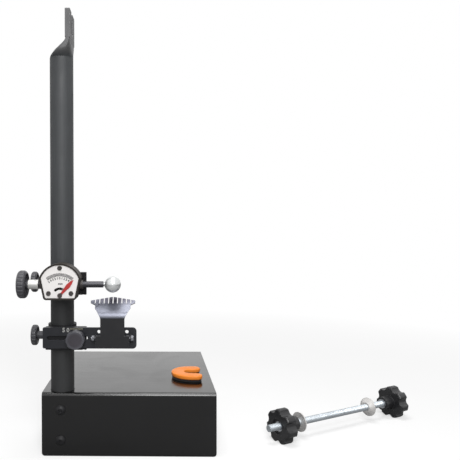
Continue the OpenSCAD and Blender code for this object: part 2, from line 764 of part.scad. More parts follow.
// DIAL GAUGE
// Outline of the dial case, inset from its outside: an arch on slanted sides with round feet
function case_outline(inset) =
    let (r = case_r - inset, side = case_side - inset, foot = -case_drop + inset,
         corner = max(case_corner_r - inset, least_r),
         shoulder = acos(side / r) - case_slant,
         foot_x = (side + foot * sin(case_slant)) / cos(case_slant),
         cx = foot_x - corner * (1 - sin(case_slant)) / cos(case_slant), cz = foot + corner,
         arc = [for (i = [0 : 32]) shoulder + (180 - 2 * shoulder) * i / 32],
         turn = [for (i = [0 : 6]) -90 + (90 - case_slant) * i / 6])
    concat(
        [for (a = turn) [cx + corner * cos(a), cz + corner * sin(a)]],
        [for (a = arc) [r * cos(a), r * sin(a)]],
        [for (i = [6 : -1 : 0]) [-cx - corner * cos(turn[i]), cz + corner * sin(turn[i])]]
    );
module case_solid(inset, front, back) translate([dial_x, back, dial_z]) rotate([90, 0, 0])
    linear_extrude(back - front) polygon(case_outline(inset));

// Open-fronted case with three screw posts, rod bushes' seats and two fixing holes
module gauge_case() color("#2a2824") difference() {
    union() {
        difference() {
            case_solid(0, case_front, block_y);
            case_solid(case_wall, case_front - over, case_in);
        }
        intersection() {
            case_solid(case_wall / 2, plate_back, block_y);
            for (p = dial_screw_places) towards_front([dial_x + p[0], block_y, dial_z + p[1]])
                cylinder(d = screw_post_d, h = block_y - plate_back);
        }
        towards_front([dial_x, block_y, pivot_z])
            cylinder(d = pivot_head_d, h = block_y - plate_back);
    }
    for (p = dial_screw_places) towards_front([dial_x + p[0], case_in, dial_z + p[1]])
        cylinder(r = dial_screw_d / 2 + seat, h = case_depth);
    towards_front([dial_x, case_in, pivot_z]) cylinder(r = pivot_pin_d / 2 + seat, h = case_depth);
    along_x([dial_x - case_r - over, rod_y, rod_z]) cylinder(r = bush_d / 2 + seat, h = 2 * (case_r + over));
    for (s = [-1, 1]) towards_front([dial_x + s * case_screw_half, block_y + over, dial_z + case_screw_rise])
        cylinder(r = case_screw_d / 2 + bolt_hole_gap, h = case_back + 2 * over);
}

module case_screws() color("#55575b") for (s = [-1, 1]) {
    x = dial_x + s * case_screw_half;
    z = dial_z + case_screw_rise;
    towards_front([x, block_y + case_screw_l - over, z])
        cylinder(d = case_screw_d, h = case_screw_l + case_back);
    towards_front([x, case_in, z]) cylinder(d = case_screw_d * 1.7, h = case_screw_d * 0.6);
}

// White plate with an arched window for the drive pin
module dial_plate() color("#e8e6e0") difference() {
    case_solid(case_wall + plate_gap, plate_y, plate_back);
    for (p = dial_screw_places) towards_front([dial_x + p[0], plate_back + over, dial_z + p[1]])
        cylinder(r = dial_screw_d / 2 + bolt_hole_gap, h = plate_t + 2 * over);
    towards_front([dial_x, plate_back + over, pivot_z])
        cylinder(r = pivot_pin_d / 2 + bolt_hole_gap, h = plate_t + 2 * over);
    towards_front([dial_x, plate_back + over, pivot_z]) {
        rotate(90 - pointer_swing) rotate_extrude(angle = 2 * pointer_swing)
            translate([crank_r - window_half, 0]) square([2 * window_half, plate_t + 2 * over]);
        for (a = [-pointer_swing, pointer_swing]) rotate(90 + a) translate([crank_r, 0, 0])
            cylinder(r = window_half, h = plate_t + 2 * over);
    }
}

module dial_screws() color("#3a3834") for (p = dial_screw_places) {
    towards_front([dial_x + p[0], case_in - case_back, dial_z + p[1]])
        cylinder(d = dial_screw_d, h = case_in - case_back - plate_y);
    towards_front([dial_x + p[0], plate_y, dial_z + p[1]]) difference() {
        cylinder(d = dial_screw_head_d, h = dial_screw_head_h);
        translate([-dial_screw_head_d, -dial_screw_d / 8, dial_screw_head_h / 2])
            cube([2 * dial_screw_head_d, dial_screw_d / 4, dial_screw_head_h]);
    }
}

// Bushes pressed into the case's side walls, which guide the rod
module rod_bushes() color("#a58a4e") for (x = [left_bush_end - bush_l, right_bush_end])
    along_x([x, rod_y, rod_z]) difference() {
        cylinder(d = bush_d, h = bush_l);
        translate([0, 0, -over]) cylinder(r = rod_d / 2 + rod_gap, h = bush_l + 2 * over);
    }

module pivot_pin() color("#5a2f2c") {
    towards_front([dial_x, case_in - case_back, pivot_z])
        cylinder(d = pivot_pin_d, h = case_in - case_back - pointer_front + pointer_lift);
    towards_front([dial_x, pointer_front - pointer_lift, pivot_z])
        cylinder(d = pivot_head_d, h = pivot_head_h);
}

// POINTER
// Blade outline along +X, as shares of its length and of its widest half
blade_len_shares = [0, 0.3, 0.62, 0.8, 1];
blade_half_shares = [0.45, 0.62, 1, 0.72, 0.06];
module pointer() color("#c8372f") towards_front([dial_x, pointer_back, pivot_z])
    rotate(90 - pointer_swing) linear_extrude(pointer_t) difference() {
        union() {
            circle(d = pointer_hub_d);
            polygon(concat(
                [for (i = [0 : len(blade_len_shares) - 1])
                    [pointer_len * blade_len_shares[i], -pointer_w / 2 * blade_half_shares[i]]],
                [for (i = [len(blade_len_shares) - 1 : -1 : 0])
                    [pointer_len * blade_len_shares[i], pointer_w / 2 * blade_half_shares[i]]]
            ));
        }
        circle(r = pivot_pin_d / 2 + hinge_gap);
        translate([crank_r, 0]) circle(r = drive_pin_d / 2 + seat);
    }

module drive_pin() color("#77797d")
    towards_front([pin_x, rod_y - rod_d / 2 + seat - driver_gap, pin_z])
        cylinder(d = drive_pin_d, h = rod_y - rod_d / 2 + seat - driver_gap - pointer_front);

// PLUNGER
module plunger_rod() color("#3b3d41") difference() {
    along_x([rod_start, rod_y, rod_z]) cylinder(d = rod_d, h = rod_end - rod_start);
    along_x([rod_end - ball_shank_l - over, rod_y, rod_z])
        cylinder(r = ball_neck_d / 2 + seat, h = ball_shank_l + 2 * over);
}

module ball_tip() color("#d5d7da") {
    translate([ball_x, rod_y, rod_z]) sphere(d = ball_d);
    along_x([rod_end - ball_shank_l, rod_y, rod_z])
        cylinder(d = ball_neck_d, h = ball_shank_l + ball_neck_l + ball_d / 4);
}

module pull_knob() color("#2b2c30") difference() {
    union() {
        difference() {
            along_x([pull_face - pull_knob_h, rod_y, rod_z])
                fluted_knob(pull_knob_d, pull_knob_h, pull_flutes, 0.12, 0.045, 0.45);
            along_x([pull_face, rod_y, rod_z]) knob_hollow(pull_knob_d, pull_hub_d - over);
        }
        along_x([pull_face - pull_knob_h / 2, rod_y, rod_z])
            cylinder(d = pull_hub_d, h = pull_hub_l + pull_knob_h / 2);
    }
    along_x([rod_start - seat, rod_y, rod_z]) cylinder(r = rod_d / 2 + seat, h = 2 * pull_knob_h);
}

// Bright collar that backs the pull knob on the rod
module rod_sleeve() color("#c9cbcc") along_x([pull_face + pull_hub_l, rod_y, rod_z]) difference() {
    cylinder(d = rod_sleeve_d, h = rod_sleeve_l);
    translate([0, 0, -over]) cylinder(r = rod_d / 2 + seat, h = rod_sleeve_l + 2 * over);
}

// Driver on the rod: a sleeve that stops on the right bush, and a fork for the drive pin
module plunger_driver() color("#94886a") difference() {
    union() {
        along_x([pin_x - driver_half, rod_y, rod_z])
            cylinder(d = driver_d, h = right_bush_end - stop_gap - pin_x + driver_half);
        translate([pin_x - driver_half, rod_y - driver_d / 2, fork_low])
            cube([2 * driver_half, driver_d / 2, rod_z - fork_low]);
    }
    along_x([pin_x - driver_half - over, rod_y, rod_z])
        cylinder(r = rod_d / 2 + seat, h = right_bush_end - pin_x + driver_half + over);
    translate([pin_x - fork_slot / 2, rod_y - driver_d, fork_low - over])
        cube([fork_slot, driver_d - rod_d / 2, fork_top - fork_low + over]);
}

// Compression spring between the left bush and the driver, one unbroken wire
spring_sides = 6;
spring_steps = 8;
spring_rings = spring_turns * spring_steps;
spring_lead = spring_end - spring_start - spring_wire - 2 * seat;
function spring_centre(i) =
    let (t = i / spring_rings, a = 360 * i / spring_steps)
    [spring_start + seat + spring_wire / 2 + spring_lead * t,
     rod_y + spring_coil_r * cos(a), rod_z + spring_coil_r * sin(a)];
spring_points = [
    for (i = [0 : spring_rings]) for (k = [0 : spring_sides - 1])
        let (a = 360 * i / spring_steps, b = 360 * k / spring_sides,
             c = spring_centre(i), out = spring_wire / 2 * cos(b))
        c + [spring_wire / 2 * sin(b), out * cos(a), out * sin(a)]
];
spring_faces = concat(
    [[for (k = [0 : spring_sides - 1]) k]],
    [for (i = [0 : spring_rings - 1]) for (k = [0 : spring_sides - 1])
        let (a = i * spring_sides + k, b = i * spring_sides + (k + 1) % spring_sides)
        each [[a, a + spring_sides, b + spring_sides], [a, b + spring_sides, b]]],
    [[for (k = [spring_sides - 1 : -1 : 0]) spring_rings * spring_sides + k]]
);
module plunger_spring() color("#a9abad") polyhedron(points = spring_points, faces = spring_faces);
echo(least_gap_between_turns = spring_lead / spring_turns - spring_wire);

// FEELER BAR
module bar_outline() difference() {
    union() {
        round_rect([-bar_left, -bar_h / 2], [bar_right / 2, bar_h / 2], bar_left_corner_r);
        round_rect([0, -bar_h / 2], [bar_right, bar_h / 2], bar_corner_r);
    }
    for (x = [-bar_slot_left + bar_slot_w / 2, bar_slot_right - bar_slot_w / 2])
        translate([x, 0]) circle(d = bar_slot_w);
    translate([-bar_slot_left + bar_slot_w / 2, -bar_slot_w / 2])
        square([bar_slot_left + bar_slot_right - bar_slot_w, bar_slot_w]);
    for (s = [-1, 1]) translate([feeler_offset + s * bar_hole_half, bar_hole_rise]) circle(d = bar_hole_d);
}

module feeler_bar() color("#1f2023") {
    translate([post_x, bar_back, bar_z]) rotate([90, 0, 0]) linear_extrude(bar_t) bar_outline();
    for (at = [-hinge_reach, ear_x])
        ear(feeler_x + at, ear_t, 0, hinge_front + bar_t / 2, hinge_d / 2 + seat);
}

// Hinge pin with its hexagon head on the right
module hinge_pin() color("#b4b6b8") {
    along_x([feeler_x - hinge_reach - hinge_nut_h - hinge_d / 4, hinge_y, hinge_z])
        cylinder(d = hinge_d, h = 2 * hinge_reach + 1.5 * hinge_nut_h + hinge_d / 4);
    along_x([feeler_x + hinge_reach, hinge_y, hinge_z]) hexagon(hinge_nut_af, hinge_nut_h);
}

module hinge_nut() color("#b4b6b8")
    along_x([feeler_x - hinge_reach - hinge_nut_h, hinge_y, hinge_z]) difference() {
        hexagon(hinge_nut_af, hinge_nut_h);
        translate([0, 0, -over]) cylinder(r = hinge_d / 2 + seat, h = hinge_nut_h + 2 * over);
    }

// COMB FEELER
// Half width of the feeler's neck and flare at a share t of the way up to its shoulders
function flare_half(t) = feeler_neck_w / 2 + (feeler_shoulder_w - feeler_neck_w) / 2 * pow(t, flare_curve);

// Front outline from the hinge up to the shoulders, about the hinge pin, and as wide as the whole
// comb above them
module feeler_front() {
    translate([-body_half, -feeler_body_drop]) square([feeler_body_w, feeler_body_drop + ear_r]);
    translate([-feeler_neck_w / 2, 0]) square([feeler_neck_w, feeler_bend_rise - flare_drop]);
    polygon(concat(
        [for (i = [0 : flare_steps + 1]) flare_point(i / flare_steps, -1)],
        [for (p = [[-1, flare_rise + feeler_t], [-1, sheet_reach], [1, sheet_reach],
                   [1, flare_rise + feeler_t]])
            [p[0] * (comb_w / 2 + over), feeler_bend_rise + p[1]]],
        [for (i = [flare_steps + 1 : -1 : 0]) flare_point(i / flare_steps, 1)]
    ));
}
function flare_point(t, side) =
    [side * flare_half(t), feeler_bend_rise - flare_drop + (flare_drop + flare_rise) * t];

// Side of the bent sheet about the hinge pin, [back, up]: body, bend and leaf
module sheet_side() {
    translate([-ear_r - feeler_t, -feeler_body_drop])
        square([feeler_t, feeler_body_drop + feeler_bend_rise]);
    translate([feeler_bend_r - ear_r, feeler_bend_rise]) {
        intersection() {
            difference() {
                circle(r = feeler_bend_r + feeler_t);
                circle(r = feeler_bend_r);
            }
            polygon([
                [0, 0], [-bend_wedge, 0],
                [-bend_wedge * cos(feeler_lean), bend_wedge * sin(feeler_lean)]
            ]);
        }
        rotate(-feeler_lean) translate([-feeler_bend_r - feeler_t, 0]) square([feeler_t, feeler_leaf]);
    }
}

// Outline on the leaf's leaning plane: the shoulders and the comb's shallow peak, and as wide as the
// whole comb below the shoulders, where the front outline cuts the sheet
module leaf_outline() difference() {
    polygon([
        [-comb_w / 2 - over, -sheet_reach], [-comb_w / 2 - over, shoulder_at],
        [-feeler_shoulder_w / 2, shoulder_at], [-feeler_shoulder_w / 2, comb_low],
        [-comb_w / 2, comb_low + comb_flare], [-comb_w / 2, leaf_end - tooth_gap / 2],
        [-comb_w / 2 + tooth_gap, leaf_end], [0, feeler_leaf],
        [comb_w / 2 - tooth_gap, leaf_end], [comb_w / 2, leaf_end - tooth_gap / 2],
        [comb_w / 2, comb_low + comb_flare], [feeler_shoulder_w / 2, comb_low],
        [feeler_shoulder_w / 2, shoulder_at], [comb_w / 2 + over, shoulder_at],
        [comb_w / 2 + over, -sheet_reach]
    ]);
    for (i = [1 : teeth - 1]) {
        x = comb_w * (i / teeth - 1 / 2);
        translate([x - tooth_gap / 2, comb_root]) square([tooth_gap, tooth_l + over]);
        translate([x, comb_root]) circle(d = tooth_gap);
    }
}

// Bent sheet feeler: hinged body with two ears, neck, bend and the comb's leaf
module comb_feeler() color("#6d7078") {
    intersection() {
        translate([feeler_x - comb_w / 2 - over, hinge_y, hinge_z]) rotate([90, 0, 90])
            linear_extrude(comb_w + 2 * over) sheet_side();
        towards_front([feeler_x, hinge_y + sheet_reach, hinge_z])
            linear_extrude(2 * sheet_reach) feeler_front();
        translate([feeler_x, leaf_y, leaf_z]) rotate([90 - feeler_lean, 0, 0])
            translate([0, 0, -sheet_reach]) linear_extrude(2 * sheet_reach) leaf_outline();
    }
    for (at = [-body_half, body_half - feeler_t])
        ear(feeler_x + at, feeler_t, -ear_r - feeler_t / 2, 0, hinge_d / 2 + hinge_gap);
}

// A hinge ear from x to the right: a round eye joined to a sheet between two depths off the pin
module ear(x, t, from_y, to_y, hole_r) along_x([x, hinge_y, hinge_z]) difference() {
    union() {
        cylinder(r = ear_r, h = t);
        translate([-ear_r, from_y, 0]) cube([2 * ear_r, to_y - from_y, t]);
    }
    translate([0, 0, -over]) cylinder(r = hole_r, h = t + 2 * over);
}

// BAR LOCK
module bar_lock_stud() color("#8d9094")
    towards_front([lock_x, block_y + lock_bite, bar_z])
        cylinder(d = lock_stud_d, h = block_y + lock_bite - knob_y + lock_knob_h / 2);

module bar_lock_washer() color("#8d9094") towards_front([lock_x, bar_front - bar_gap, bar_z]) difference() {
    cylinder(d = lock_washer_d, h = lock_washer_t);
    translate([0, 0, -over]) cylinder(r = lock_stud_d / 2 + seat, h = lock_washer_t + 2 * over);
}

module bar_lock_knob() color("#34353a") towards_front([lock_x, washer_y - bar_gap, bar_z]) difference() {
    union() {
        cylinder(d = clamp_neck_d, h = lock_neck_h + lock_knob_h / 4);
        translate([0, 0, lock_neck_h]) fluted_knob(lock_knob_d, lock_knob_h, lock_lobes, 0.07, 0.4, 0.1);
    }
    translate([0, 0, -over]) cylinder(r = lock_stud_d / 2 + seat, h = lock_neck_h + lock_knob_h / 2 + over);
}

// AXLE ADAPTOR
// Puts a piece that is modelled along +X at its place on the adaptor lying on the floor
module on_adaptor(at) translate([adaptor_right, adaptor_back, adaptor_z]) rotate([0, 0, adaptor_turn])
    translate([at, 0, 0]) rotate([0, 90, 0]) rotate([0, 0, 180 / star_lobes]) children();

// Star knob on +Z: grip about z = 0, boss on its +Z side, bored right through or blind
module star_knob(through) difference() {
    union() {
        translate([0, 0, -star_h / 2]) intersection() {
            linear_extrude(star_h) star_outline();
            rotate_extrude() intersection() {
                grip_profile(star_r, star_h, star_lobe_r * 0.5);
                square([star_r, star_h]);
            }
        }
        cylinder(d = star_boss_d, h = star_h / 2 + star_boss_l);
    }
    if (through) translate([0, 0, -star_h / 2 - over]) cylinder(d = star_boss_d, h = star_recess + over);
    translate([0, 0, through ? -star_h : -axle_bite - seat])
        cylinder(r = star_insert_d / 2 + seat, h = 2 * star_h + star_boss_l);
}
module star_outline() difference() {
    union() {
        circle(r = star_pitch_r + star_lobe_r * 0.25);
        for (i = [0 : star_lobes - 1]) rotate(360 * i / star_lobes)
            translate([star_pitch_r, 0]) circle(r = star_lobe_r);
    }
    for (i = [0 : star_lobes - 1]) rotate(360 * (i + 0.5) / star_lobes)
        translate([star_r + star_lobe_r * 0.2, 0]) circle(r = star_lobe_r);
}

// Metal insert in a star knob: length from z = low to just out of the boss
module star_insert(low, gap) difference() {
    translate([0, 0, low]) cylinder(d = star_insert_d, h = star_h / 2 + star_boss_l + star_insert_out - low);
    translate([0, 0, low - over]) cylinder(r = axle_d / 2 + gap, h = 2 * star_h + 2 * star_boss_l);
}

// Cone washer on +Z: flat rim at z = 0, narrowing upwards, bored for the rod
module cone_washer() rotate_extrude() polygon([
    [axle_d / 2 + stud_gap, 0], [cone_d / 2, 0], [cone_d / 2, cone_rim_t],
    [cone_small_d / 2, cone_l], [axle_d / 2 + stud_gap, cone_l]
]);

module axle_rod() color("#b9c0c6") on_adaptor(-axle_tail)
    cylinder(d = axle_d, h = axle_tail + axle_span + axle_bite - seat);
module star_nut_knob() color("#242528") on_adaptor(0) star_knob(true);
module star_nut_insert() color("#b9c0c6") on_adaptor(0) star_insert(-star_h / 2 + star_recess, stud_gap);
module head_knob() color("#242528") on_adaptor(axle_span) mirror([0, 0, 1]) star_knob(false);
module head_insert() color("#b9c0c6") on_adaptor(axle_span) mirror([0, 0, 1]) star_insert(-axle_bite, seat);
module outer_cone() color("#c6c8ca") on_adaptor(outer_cone_at) cone_washer();
module inner_cone() color("#c6c8ca") on_adaptor(axle_span - inner_cone_at) mirror([0, 0, 1]) cone_washer();

// SLOT SPACER
// Horseshoe, open to +X: a half ring, two arms and their round ends, of one arm profile
module horseshoe(edge, low, high, r) translate([spacer_x, spacer_y, base_h + low]) {
    h = high - low;
    mid = spacer_slot / 2 + arm_w / 2;
    half = arm_w / 2 - edge;
    rotate([0, 0, 90]) rotate_extrude(angle = 180) translate([mid, 0]) bar_section(half, h, r);
    for (s = [-1, 1]) {
        translate([0, s * mid, 0]) rotate([90, 0, 90]) linear_extrude(arm_l) bar_section(half, h, r);
        translate([arm_l, s * mid, 0]) rotate([0, 0, -90]) rotate_extrude(angle = 180) intersection() {
            bar_section(half, h, r);
            square([half, h]);
        }
    }
}
module bar_section(half, h, r) {
    if (r > 0) round_rect([-half, 0], [half, h], r);
    else translate([-half, 0]) square([2 * half, h]);
}
module slot_spacer() color("#e88a3c") horseshoe(0, pad_t, pad_t + spacer_t, spacer_edge_r);
module spacer_pad() color("#1a1a1c") horseshoe(pad_inset, 0, pad_t, 0);

base_housing();
post_tube();
post_bolts();
post_washers();
post_nuts();
gauge_collar();
gauge_case();
case_screws();
dial_plate();
dial_screws();
rod_bushes();
pivot_pin();
gauge_clamp_stud();
gauge_clamp_knob();
pointer();
drive_pin();
plunger_rod();
ball_tip();
pull_knob();
rod_sleeve();
plunger_driver();
plunger_spring();
feeler_collar();
feeler_clamp_stud();
feeler_clamp_knob();
feeler_bar();
hinge_pin();
hinge_nut();
comb_feeler();
bar_lock_stud();
bar_lock_washer();
bar_lock_knob();
axle_rod();
head_knob();
head_insert();
star_nut_knob();
star_nut_insert();
outer_cone();
inner_cone();
slot_spacer();
spacer_pad();
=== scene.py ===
"""Looks of a wheel truing stand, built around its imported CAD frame.

Every length is in metres, in the frame's own directions: +X to the wheel's side, +Y to the back of
the base and +Z up, from the floor at the middle of the front flange's foot.
"""

from __future__ import annotations

import logging
import math
from dataclasses import dataclass, field
from enum import Enum

import bmesh
import bpy
from mathutils import Matrix, Vector


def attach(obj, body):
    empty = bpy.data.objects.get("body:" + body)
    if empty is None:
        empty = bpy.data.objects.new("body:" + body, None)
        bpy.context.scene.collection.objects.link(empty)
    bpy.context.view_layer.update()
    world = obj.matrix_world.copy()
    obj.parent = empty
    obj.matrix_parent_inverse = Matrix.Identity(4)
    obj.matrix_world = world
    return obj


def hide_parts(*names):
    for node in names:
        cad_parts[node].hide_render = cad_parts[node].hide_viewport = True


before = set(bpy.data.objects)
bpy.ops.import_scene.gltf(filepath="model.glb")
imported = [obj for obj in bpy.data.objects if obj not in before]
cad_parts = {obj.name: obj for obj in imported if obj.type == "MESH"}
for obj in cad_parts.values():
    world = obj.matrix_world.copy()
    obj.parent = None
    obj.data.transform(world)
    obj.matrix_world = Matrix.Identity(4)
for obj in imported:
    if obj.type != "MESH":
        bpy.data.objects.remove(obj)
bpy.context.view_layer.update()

log = logging.getLogger("truing_stand")

MM = 0.001
FLOAT = "NodeSocketFloat"
VECTOR = "NodeSocketVector"
BEVEL_SAMPLES = 6
SMOOTH_BELOW = math.radians(35.0)
Socket = bpy.types.NodeSocket
Value = float | tuple[float, ...] | Socket
Part = bmesh.types.BMVert | bmesh.types.BMEdge | bmesh.types.BMFace
Spot = tuple[float, float]
Point = tuple[float, float, float]
Shade = tuple[float, float, float]


class Slot(Enum):
    """The record's material slots that a finish of this script stands for."""

    BLACK_SHEET = "black_sheet"
    BLACK_TUBE = "black_tube"
    BLACK_CAST = "black_cast"
    BLACK_STEEL = "black_steel"
    ZINC = "zinc"
    CHROME = "chrome"
    ALUMINIUM = "aluminium"
    SPRING_STEEL = "spring_steel"
    FEELER_STEEL = "feeler_steel"
    BLACK_PLASTIC = "black_plastic"
    DIAL_WHITE = "dial_white"
    POINTER_RED = "pointer_red"
    ORANGE_PLASTIC = "orange_plastic"
    PAD_RUBBER = "pad_rubber"


class Lines(Enum):
    """Which way a finish's fine tool lines run; each value stretches the noise that draws them."""

    NONE = (1.0, 1.0, 1.0)
    ROUND_X = (40.0, 1.0, 1.0)
    ROUND_Y = (1.0, 40.0, 1.0)
    ALONG_X = (1.0, 40.0, 40.0)
    ALONG_Z = (40.0, 40.0, 1.0)


def linear(shade: Shade) -> tuple[float, float, float, float]:
    """Turns a colour as the eye names it into the shader's linear colour.

    Args:
        shade: red, green and blue from 0 to 255.

    Returns:
        The same colour in linear light from 0 to 1, with an alpha of 1.
    """
    parts = [c / 255 for c in shade]
    light = [c / 12.92 if c <= 0.04045 else ((c + 0.055) / 1.055) ** 2.4 for c in parts]
    return (light[0], light[1], light[2], 1.0)


class Graph:
    """A node tree with short calls that add its nodes and join them."""

    def __init__(self, tree: bpy.types.NodeTree) -> None:
        """Empties the tree and keeps it.

        Args:
            tree: the material's, world's or group's node tree.
        """
        self.tree = tree
        tree.nodes.clear()

    def give(self, target: Socket, value: Value) -> None:
        """Joins a socket to an input, or sets the input's own value.

        Args:
            target: the input.
            value: the socket that feeds it, or its value.
        """
        if isinstance(value, Socket):
            self.tree.links.new(value, target)
        else:
            target.default_value = value

    def add(
        self, kind: str, inputs: dict[str | int, Value] | None = None, **settings: object
    ) -> bpy.types.Node:
        """Adds one node.

        Args:
            kind: the node's type, without its ShaderNode start.
            inputs: values or sockets for its inputs, by name or number.
            **settings: the node's own settings.

        Returns:
            The new node.
        """
        node = self.tree.nodes.new(kind if kind.startswith("Node") else "ShaderNode" + kind)
        for name, value in settings.items():
            setattr(node, name, value)
        for name, value in (inputs or {}).items():
            self.give(node.inputs[name], value)
        return node

    def math(self, operation: str, *values: Value, clamp: bool = False) -> Socket:
        """Adds a sum on plain numbers.

        Args:
            operation: the sum's name, such as MULTIPLY.
            *values: its values or sockets, in order.
            clamp: whether the result stays between 0 and 1.

        Returns:
            The result's socket.
        """
        node = self.add("Math", dict(enumerate(values)), operation=operation, use_clamp=clamp)
        return node.outputs[0]

    def vector(self, operation: str, *values: Value) -> Socket:
        """Adds a sum on vectors.

        Args:
            operation: the sum's name, such as DISTANCE.
            *values: its values or sockets, in order.

        Returns:
            The result's socket, a number's or a vector's as the sum gives it.
        """
        node = self.add("VectorMath", dict(enumerate(values)), operation=operation)
        plain = operation in ("DISTANCE", "DOT_PRODUCT", "LENGTH")
        return node.outputs["Value" if plain else "Vector"]

    def mix(self, factor: Value, first: Value, second: Value) -> Socket:
        """Adds a mix of two colours.

        Args:
            factor: how much of the second colour shows, from 0 to 1.
            first: the colour at 0.
            second: the colour at 1.

        Returns:
            The mixed colour's socket.
        """
        node = self.add("Mix", {0: factor, 6: first, 7: second}, data_type="RGBA")
        return node.outputs[2]

    def blend(self, first: Socket, second: Socket, share: float) -> Socket:
        """Adds a blend of two numbers.

        Args:
            first: the first number's socket.
            second: the second number's socket.
            share: how much the second number counts, from 0 to 1.

        Returns:
            The result's socket.
        """
        low = self.math("MULTIPLY", first, 1 - share)
        return self.math("ADD", low, self.math("MULTIPLY", second, share))

    def span(
        self, value: Socket, low: float, high: float, start: float = 0.0, end: float = 1.0
    ) -> Socket:
        """Maps a number from one span to another and clamps it there.

        Args:
            value: the number's socket.
            low: the result at start.
            high: the result at end.
            start: where the span starts.
            end: where the span ends.

        Returns:
            The result's socket.
        """
        inputs = {"Value": value, "From Min": start, "From Max": end, "To Min": low, "To Max": high}
        return self.add("MapRange", inputs).outputs[0]

    def noise(self, place: Socket, scale: Value, detail: float, **more: float) -> Socket:
        """Adds a noise.

        Args:
            place: the socket of its coordinates.
            scale: how fine it is.
            detail: how many finer layers it has.
            **more: its other inputs, such as Distortion.

        Returns:
            The socket of its value.
        """
        inputs = {"Vector": place, "Scale": scale, "Detail": detail, **more}
        return self.add("TexNoise", inputs).outputs["Fac"]

    def rounded(self, radius: Value) -> Socket:
        """Adds the normal of a surface whose edges are rounded, and returns its socket."""
        return self.add("Bevel", {"Radius": radius}, samples=BEVEL_SAMPLES).outputs[0]


class SharedEffect:
    """A shader node group that is built once and placed in every material that uses it."""

    name = ""
    inputs: tuple[tuple[str, str, float], ...] = ()
    outputs: tuple[tuple[str, str], ...] = ()
    tint_span = (0.35, 0.65)

    def tree(self) -> bpy.types.NodeTree:
        """Builds the group's node tree at the first call.

        Returns:
            The node tree.
        """
        if self.name in bpy.data.node_groups:
            return bpy.data.node_groups[self.name]
        tree = bpy.data.node_groups.new(self.name, "ShaderNodeTree")
        for label, kind, default in self.inputs:
            socket = tree.interface.new_socket(label, in_out="INPUT", socket_type=kind)
            if kind == FLOAT:
                socket.default_value = default
        for label, kind in self.outputs:
            tree.interface.new_socket(label, in_out="OUTPUT", socket_type=kind)
        graph = Graph(tree)
        given = graph.add("NodeGroupInput").outputs
        self.wire(graph, given, graph.add("NodeGroupOutput").inputs)
        return tree

    def wire(
        self, graph: Graph, given: bpy.types.NodeOutputs, out: bpy.types.NodeInputs
    ) -> None:
        """Joins the group's nodes.

        Args:
            graph: the group's graph.
            given: the sockets of the group's inputs.
            out: the sockets of the group's outputs.
        """
        raise NotImplementedError

    def place(self, graph: Graph, **values: Value) -> bpy.types.NodeOutputs:
        """Places the group in a material.

        Args:
            graph: the material's graph.
            **values: values or sockets for the group's inputs, with _ for a space.

        Returns:
            The placed group's output sockets.
        """
        node = graph.add("Group", node_tree=self.tree())
        for label, value in values.items():
            graph.give(node.inputs[label.replace("_", " ")], value)
        return node.outputs


class EdgeWear(SharedEffect):
    """Finds the sharp outer edges and breaks them up, for rubbed paint and bright corners."""

    name = "edge_wear"
    inputs = (
        ("Vector", VECTOR, 0.0),
        ("Radius", FLOAT, 0.0006),
        ("Chip Scale", FLOAT, 400.0),
        ("Amount", FLOAT, 0.5),
    )
    outputs = (("Mask", FLOAT),)
    edge_span = (0.015, 0.16)
    chip_span = (0.4, 0.62)

    def wire(
        self, graph: Graph, given: bpy.types.NodeOutputs, out: bpy.types.NodeInputs
    ) -> None:
        """Compares the rounded normal with the true one, and cuts the result up with noise.

        Args:
            graph: the group's graph.
            given: the sockets of the group's inputs.
            out: the sockets of the group's outputs.
        """
        true = graph.add("NewGeometry").outputs["Normal"]
        likeness = graph.vector("DOT_PRODUCT", graph.rounded(given["Radius"]), true)
        turn = graph.math("SUBTRACT", 1.0, likeness)
        edge = graph.span(turn, 0.0, 1.0, *self.edge_span)
        chips = graph.noise(given["Vector"], given["Chip Scale"], detail=3.0)
        worn = graph.math("MULTIPLY", edge, graph.span(chips, 0.0, 1.0, *self.chip_span))
        graph.give(out["Mask"], graph.math("MULTIPLY", worn, given["Amount"], clamp=True))


class Grain(SharedEffect):
    """Fine grain of paint, casting or moulded plastic, with slow changes of tint over it."""

    name = "grain"
    inputs = (("Vector", VECTOR, 0.0), ("Scale", FLOAT, 1500.0))
    outputs = (("Height", FLOAT), ("Tint", FLOAT))
    slow_scale = 0.03
    slow_share = 0.6

    def wire(
        self, graph: Graph, given: bpy.types.NodeOutputs, out: bpy.types.NodeInputs
    ) -> None:
        """Takes a fine noise for the height, and blends it with a slow one for the tint.

        Args:
            graph: the group's graph.
            given: the sockets of the group's inputs.
            out: the sockets of the group's outputs.
        """
        fine = graph.noise(given["Vector"], given["Scale"], detail=2.0)
        slow_scale = graph.math("MULTIPLY", given["Scale"], self.slow_scale)
        slow = graph.noise(given["Vector"], slow_scale, detail=4.0)
        tint = graph.blend(fine, slow, self.slow_share)
        graph.give(out["Height"], fine)
        graph.give(out["Tint"], graph.span(tint, 0.0, 1.0, *self.tint_span))


